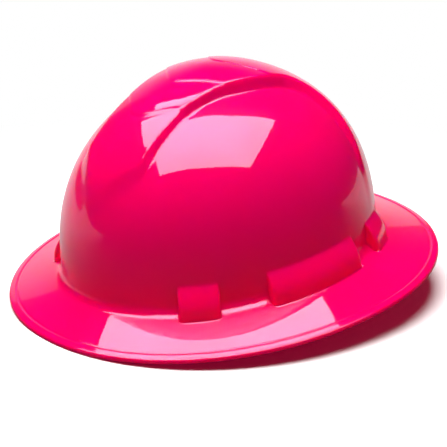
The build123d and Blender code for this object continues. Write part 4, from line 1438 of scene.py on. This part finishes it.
@dataclass
class Studio:
    """Table, backdrop, overhead lamp, the faces that reflections see, the world and the camera."""

    azimuth: float = 49.582
    elevation: float = 19.02
    distance: float = 1000.0
    focal: float = 1352.1
    frame_pixels: float = 447.0
    sensor: float = 36.0
    aim_right: float = 0.128
    aim_up: float = 27.505
    fill: float = 0.015
    dark: float = 0.01
    box_height: float = 1.0
    face_rise: float = 0.01
    box_outline: tuple[tuple[float, float], ...] = (
        *((-0.79, -0.42), (-0.16, -0.045), (0.22, -0.06), (0.68, -0.23), (0.715, 0.24)),
        *((0.73, 0.61), (0.15, 0.68), (-0.6, 0.66), (-0.6, 0.36), (-0.82, 0.08)),
    )
    strip_line: tuple[tuple[float, float], ...] = (
        *((-0.6, -0.47), (-0.3, -0.285), (-0.15, -0.28)),
        *((0.03, -0.33), (0.17, -0.435), (0.29, -0.53)),
    )
    strip_half: float = 0.06
    lamp_size: tuple[float, float] = (0.85, 0.65)
    lamp_place: tuple[float, float] = (-0.02, -0.15)
    box_turn: float = 47.5
    box_power: float = 23.0
    far_clip: float = 50.0
    table_near: tuple[float, float, int] = (0.1, 1.0, 10)
    table_far: tuple[float, float, int] = (1.2, 6.0, 12)
    table_turns: int = 96
    backdrop_radius: float = 2.2
    backdrop_height: float = 2.4
    backdrop_turn: float = -123.0
    backdrop_span: float = 28.0
    backdrop_grid: tuple[int, int] = (5, 49)

    def camera(self) -> None:
        """Adds the camera at the photo's angle: a turn about Z, then a rise."""
        a, e = math.radians(self.azimuth), math.radians(self.elevation)
        back = np.array([math.sin(a) * math.cos(e), -math.cos(a) * math.cos(e), math.sin(e)])
        right = np.array([math.cos(a), math.sin(a), 0.0])
        up = np.cross(back, right)
        origin = STANCE.to_row(np.zeros(3)) / METRE
        target = origin + right * self.aim_right + up * self.aim_up
        data = bpy.data.cameras.new("camera")
        data.sensor_width = self.sensor
        data.lens = self.focal / self.frame_pixels * self.sensor
        data.clip_end = self.far_clip
        made = bpy.data.objects.new("camera", data)
        made.location = Vector((target + back * self.distance) * METRE)
        made.rotation_euler = (Vector(target * METRE) - made.location).to_track_quat("-Z", "Y").to_euler()
        bpy.context.scene.collection.objects.link(made)
        bpy.context.scene.camera = made

    def table(self, white: bpy.types.Material) -> None:
        """Adds the table: a flat disc of rings round the hat."""
        radius = np.concatenate([np.linspace(*self.table_near), np.geomspace(*self.table_far)])
        turn = np.linspace(0.0, 2 * math.pi, self.table_turns, endpoint=False)
        r, t = np.meshgrid(radius, turn, indexing="ij")
        points = np.stack([r * np.cos(t), r * np.sin(t), np.zeros_like(r)], axis=-1).reshape(-1, 3)
        faces = grid_quads(len(radius), len(turn), True) + fan(len(points), 0, len(turn))
        made = add_mesh("table", np.concatenate([points, [[0.0, 0.0, 0.0]]]), faces)
        made.data.materials.append(white)

    def backdrop(self, white: bpy.types.Material) -> None:
        """Adds the backdrop behind the hat: part of an upright cylinder."""
        middle, half = math.radians(self.backdrop_turn), math.radians(self.backdrop_span)
        rows, columns = self.backdrop_grid
        turn = np.linspace(middle - half, middle + half, columns)
        height = np.linspace(0.0, self.backdrop_height, rows)
        h, t = np.meshgrid(height, turn, indexing="ij")
        r = self.backdrop_radius
        points = np.stack([r * np.sin(t), -r * np.cos(t), h], axis=-1)
        made = add_mesh("backdrop", points, grid_quads(len(height), len(turn), False))
        made.data.materials.append(white)

    def softbox(self) -> None:
        """Adds the overhead lamp, and the softbox and strip that only reflections see."""
        data = bpy.data.lights.new("overhead_lamp", "AREA")
        data.shape = "RECTANGLE"
        data.size, data.size_y = self.lamp_size
        data.energy = self.box_power
        lamp = bpy.data.objects.new("overhead_lamp", data)
        lamp.location = (*self.lamp_place, self.box_height)
        lamp.rotation_euler = (0.0, 0.0, math.radians(self.box_turn))
        lamp.visible_glossy = False
        lamp.visible_camera = False
        bpy.context.scene.collection.objects.link(lamp)
        line = np.array(self.strip_line)
        edge = np.array([0.0, self.strip_half])
        self.face("softbox_face", np.array(self.box_outline))
        self.face("strip_face", np.concatenate([line - edge, (line + edge)[::-1]]))

    def face(self, name: str, outline: np.ndarray) -> None:
        """Adds one lit face that only reflections see.

        Args:
            name: Object name.
            outline: Corners (n, 2), places to the camera's right and towards the camera, in metres.
        """
        turn = math.radians(self.azimuth)
        right = np.array([math.cos(turn), math.sin(turn)])
        near = np.array([math.sin(turn), -math.cos(turn)])
        plan = outline[:, :1] * right + outline[:, 1:] * near
        points = np.column_stack([plan, np.full(len(plan), self.box_height + self.face_rise)])
        made = add_mesh(name, points, [list(range(len(points)))])
        low, high = outline.min(axis=0), outline.max(axis=0)
        give_uv(made, (outline - low) / (high - low))
        made.data.materials.append(SoftboxFace().make())
        made.visible_shadow = False

    def world(self) -> None:
        """Sets an even world: white to the camera, a faint fill, and nearly dark in reflections."""
        world = bpy.data.worlds.new("studio")
        world.use_nodes = True
        tree = world.node_tree
        tree.nodes.clear()
        path = add_node(tree, "ShaderNodeLightPath")
        camera = Value(tree, path.outputs["Is Camera Ray"])
        glossy = Value(tree, path.outputs["Is Glossy Ray"])
        other = glossy * (self.dark - self.fill) + self.fill
        strength = camera + (1.0 - camera) * other
        shade = add_node(tree, "ShaderNodeBackground", None, {"Color": WHITE, "Strength": strength})
        add_node(tree, "ShaderNodeOutputWorld", None, {"Surface": shade.outputs[0]})
        bpy.context.scene.world = world

    def build(self) -> None:
        """Adds everything of the studio but the camera."""
        bpy.context.scene.view_settings.view_transform = "Standard"
        white = StudioWhite().make()
        self.table(white)
        self.backdrop(white)
        self.softbox()
        self.world()


# Making


def paint_nodes(nodes: dict[str, bpy.types.Object], finishes: dict[Slot, bpy.types.Material]) -> None:
    """Gives every carried-over solid the material of its slot.

    Args:
        nodes: The model's nodes by name.
        finishes: Materials by slot.
    """
    fine = {
        "shell": Slot.SHELL,
        "crown_strap_lower": Slot.WEBBING,
        "crown_strap_upper": Slot.WEBBING,
        "crown_pad": Slot.PAD,
        "brow_pad": Slot.PAD,
        "nape_pad": Slot.PAD,
        "ratchet_pinion": Slot.ACETAL,
        "pawl_spring": Slot.ACETAL,
        "knob_grip": Slot.GRIP,
        "knob_screw": Slot.STEEL,
    }
    for name, node in nodes.items():
        node.data.materials.clear()
        node.data.materials.append(finishes[fine.get(name, Slot.SUSPENSION)])


def main() -> None:
    """Builds the studio, the finishes and each sub-assembly in order."""
    logging.basicConfig(level=logging.INFO, format="%(name)s %(message)s")
    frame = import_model()
    studio = Studio()
    studio.camera()
    finishes = {
        Slot.SHELL: GlossPlastic().make(),
        Slot.SUSPENSION: MOULDED_NYLON.make(),
        Slot.WEBBING: WovenWebbing().make(),
        Slot.PAD: BrushedKnit().make(),
        Slot.ACETAL: ACETAL.make(),
        Slot.GRIP: GRIP_RUBBER.make(),
        Slot.STEEL: PLATED_STEEL.make(),
    }
    paint_nodes(frame["nodes"], finishes)
    shell = Shell()
    shell.dress(finishes[Slot.SHELL])
    Suspension(shell).dress(finishes)
    studio.build()


if __name__ == "__main__":
    main()
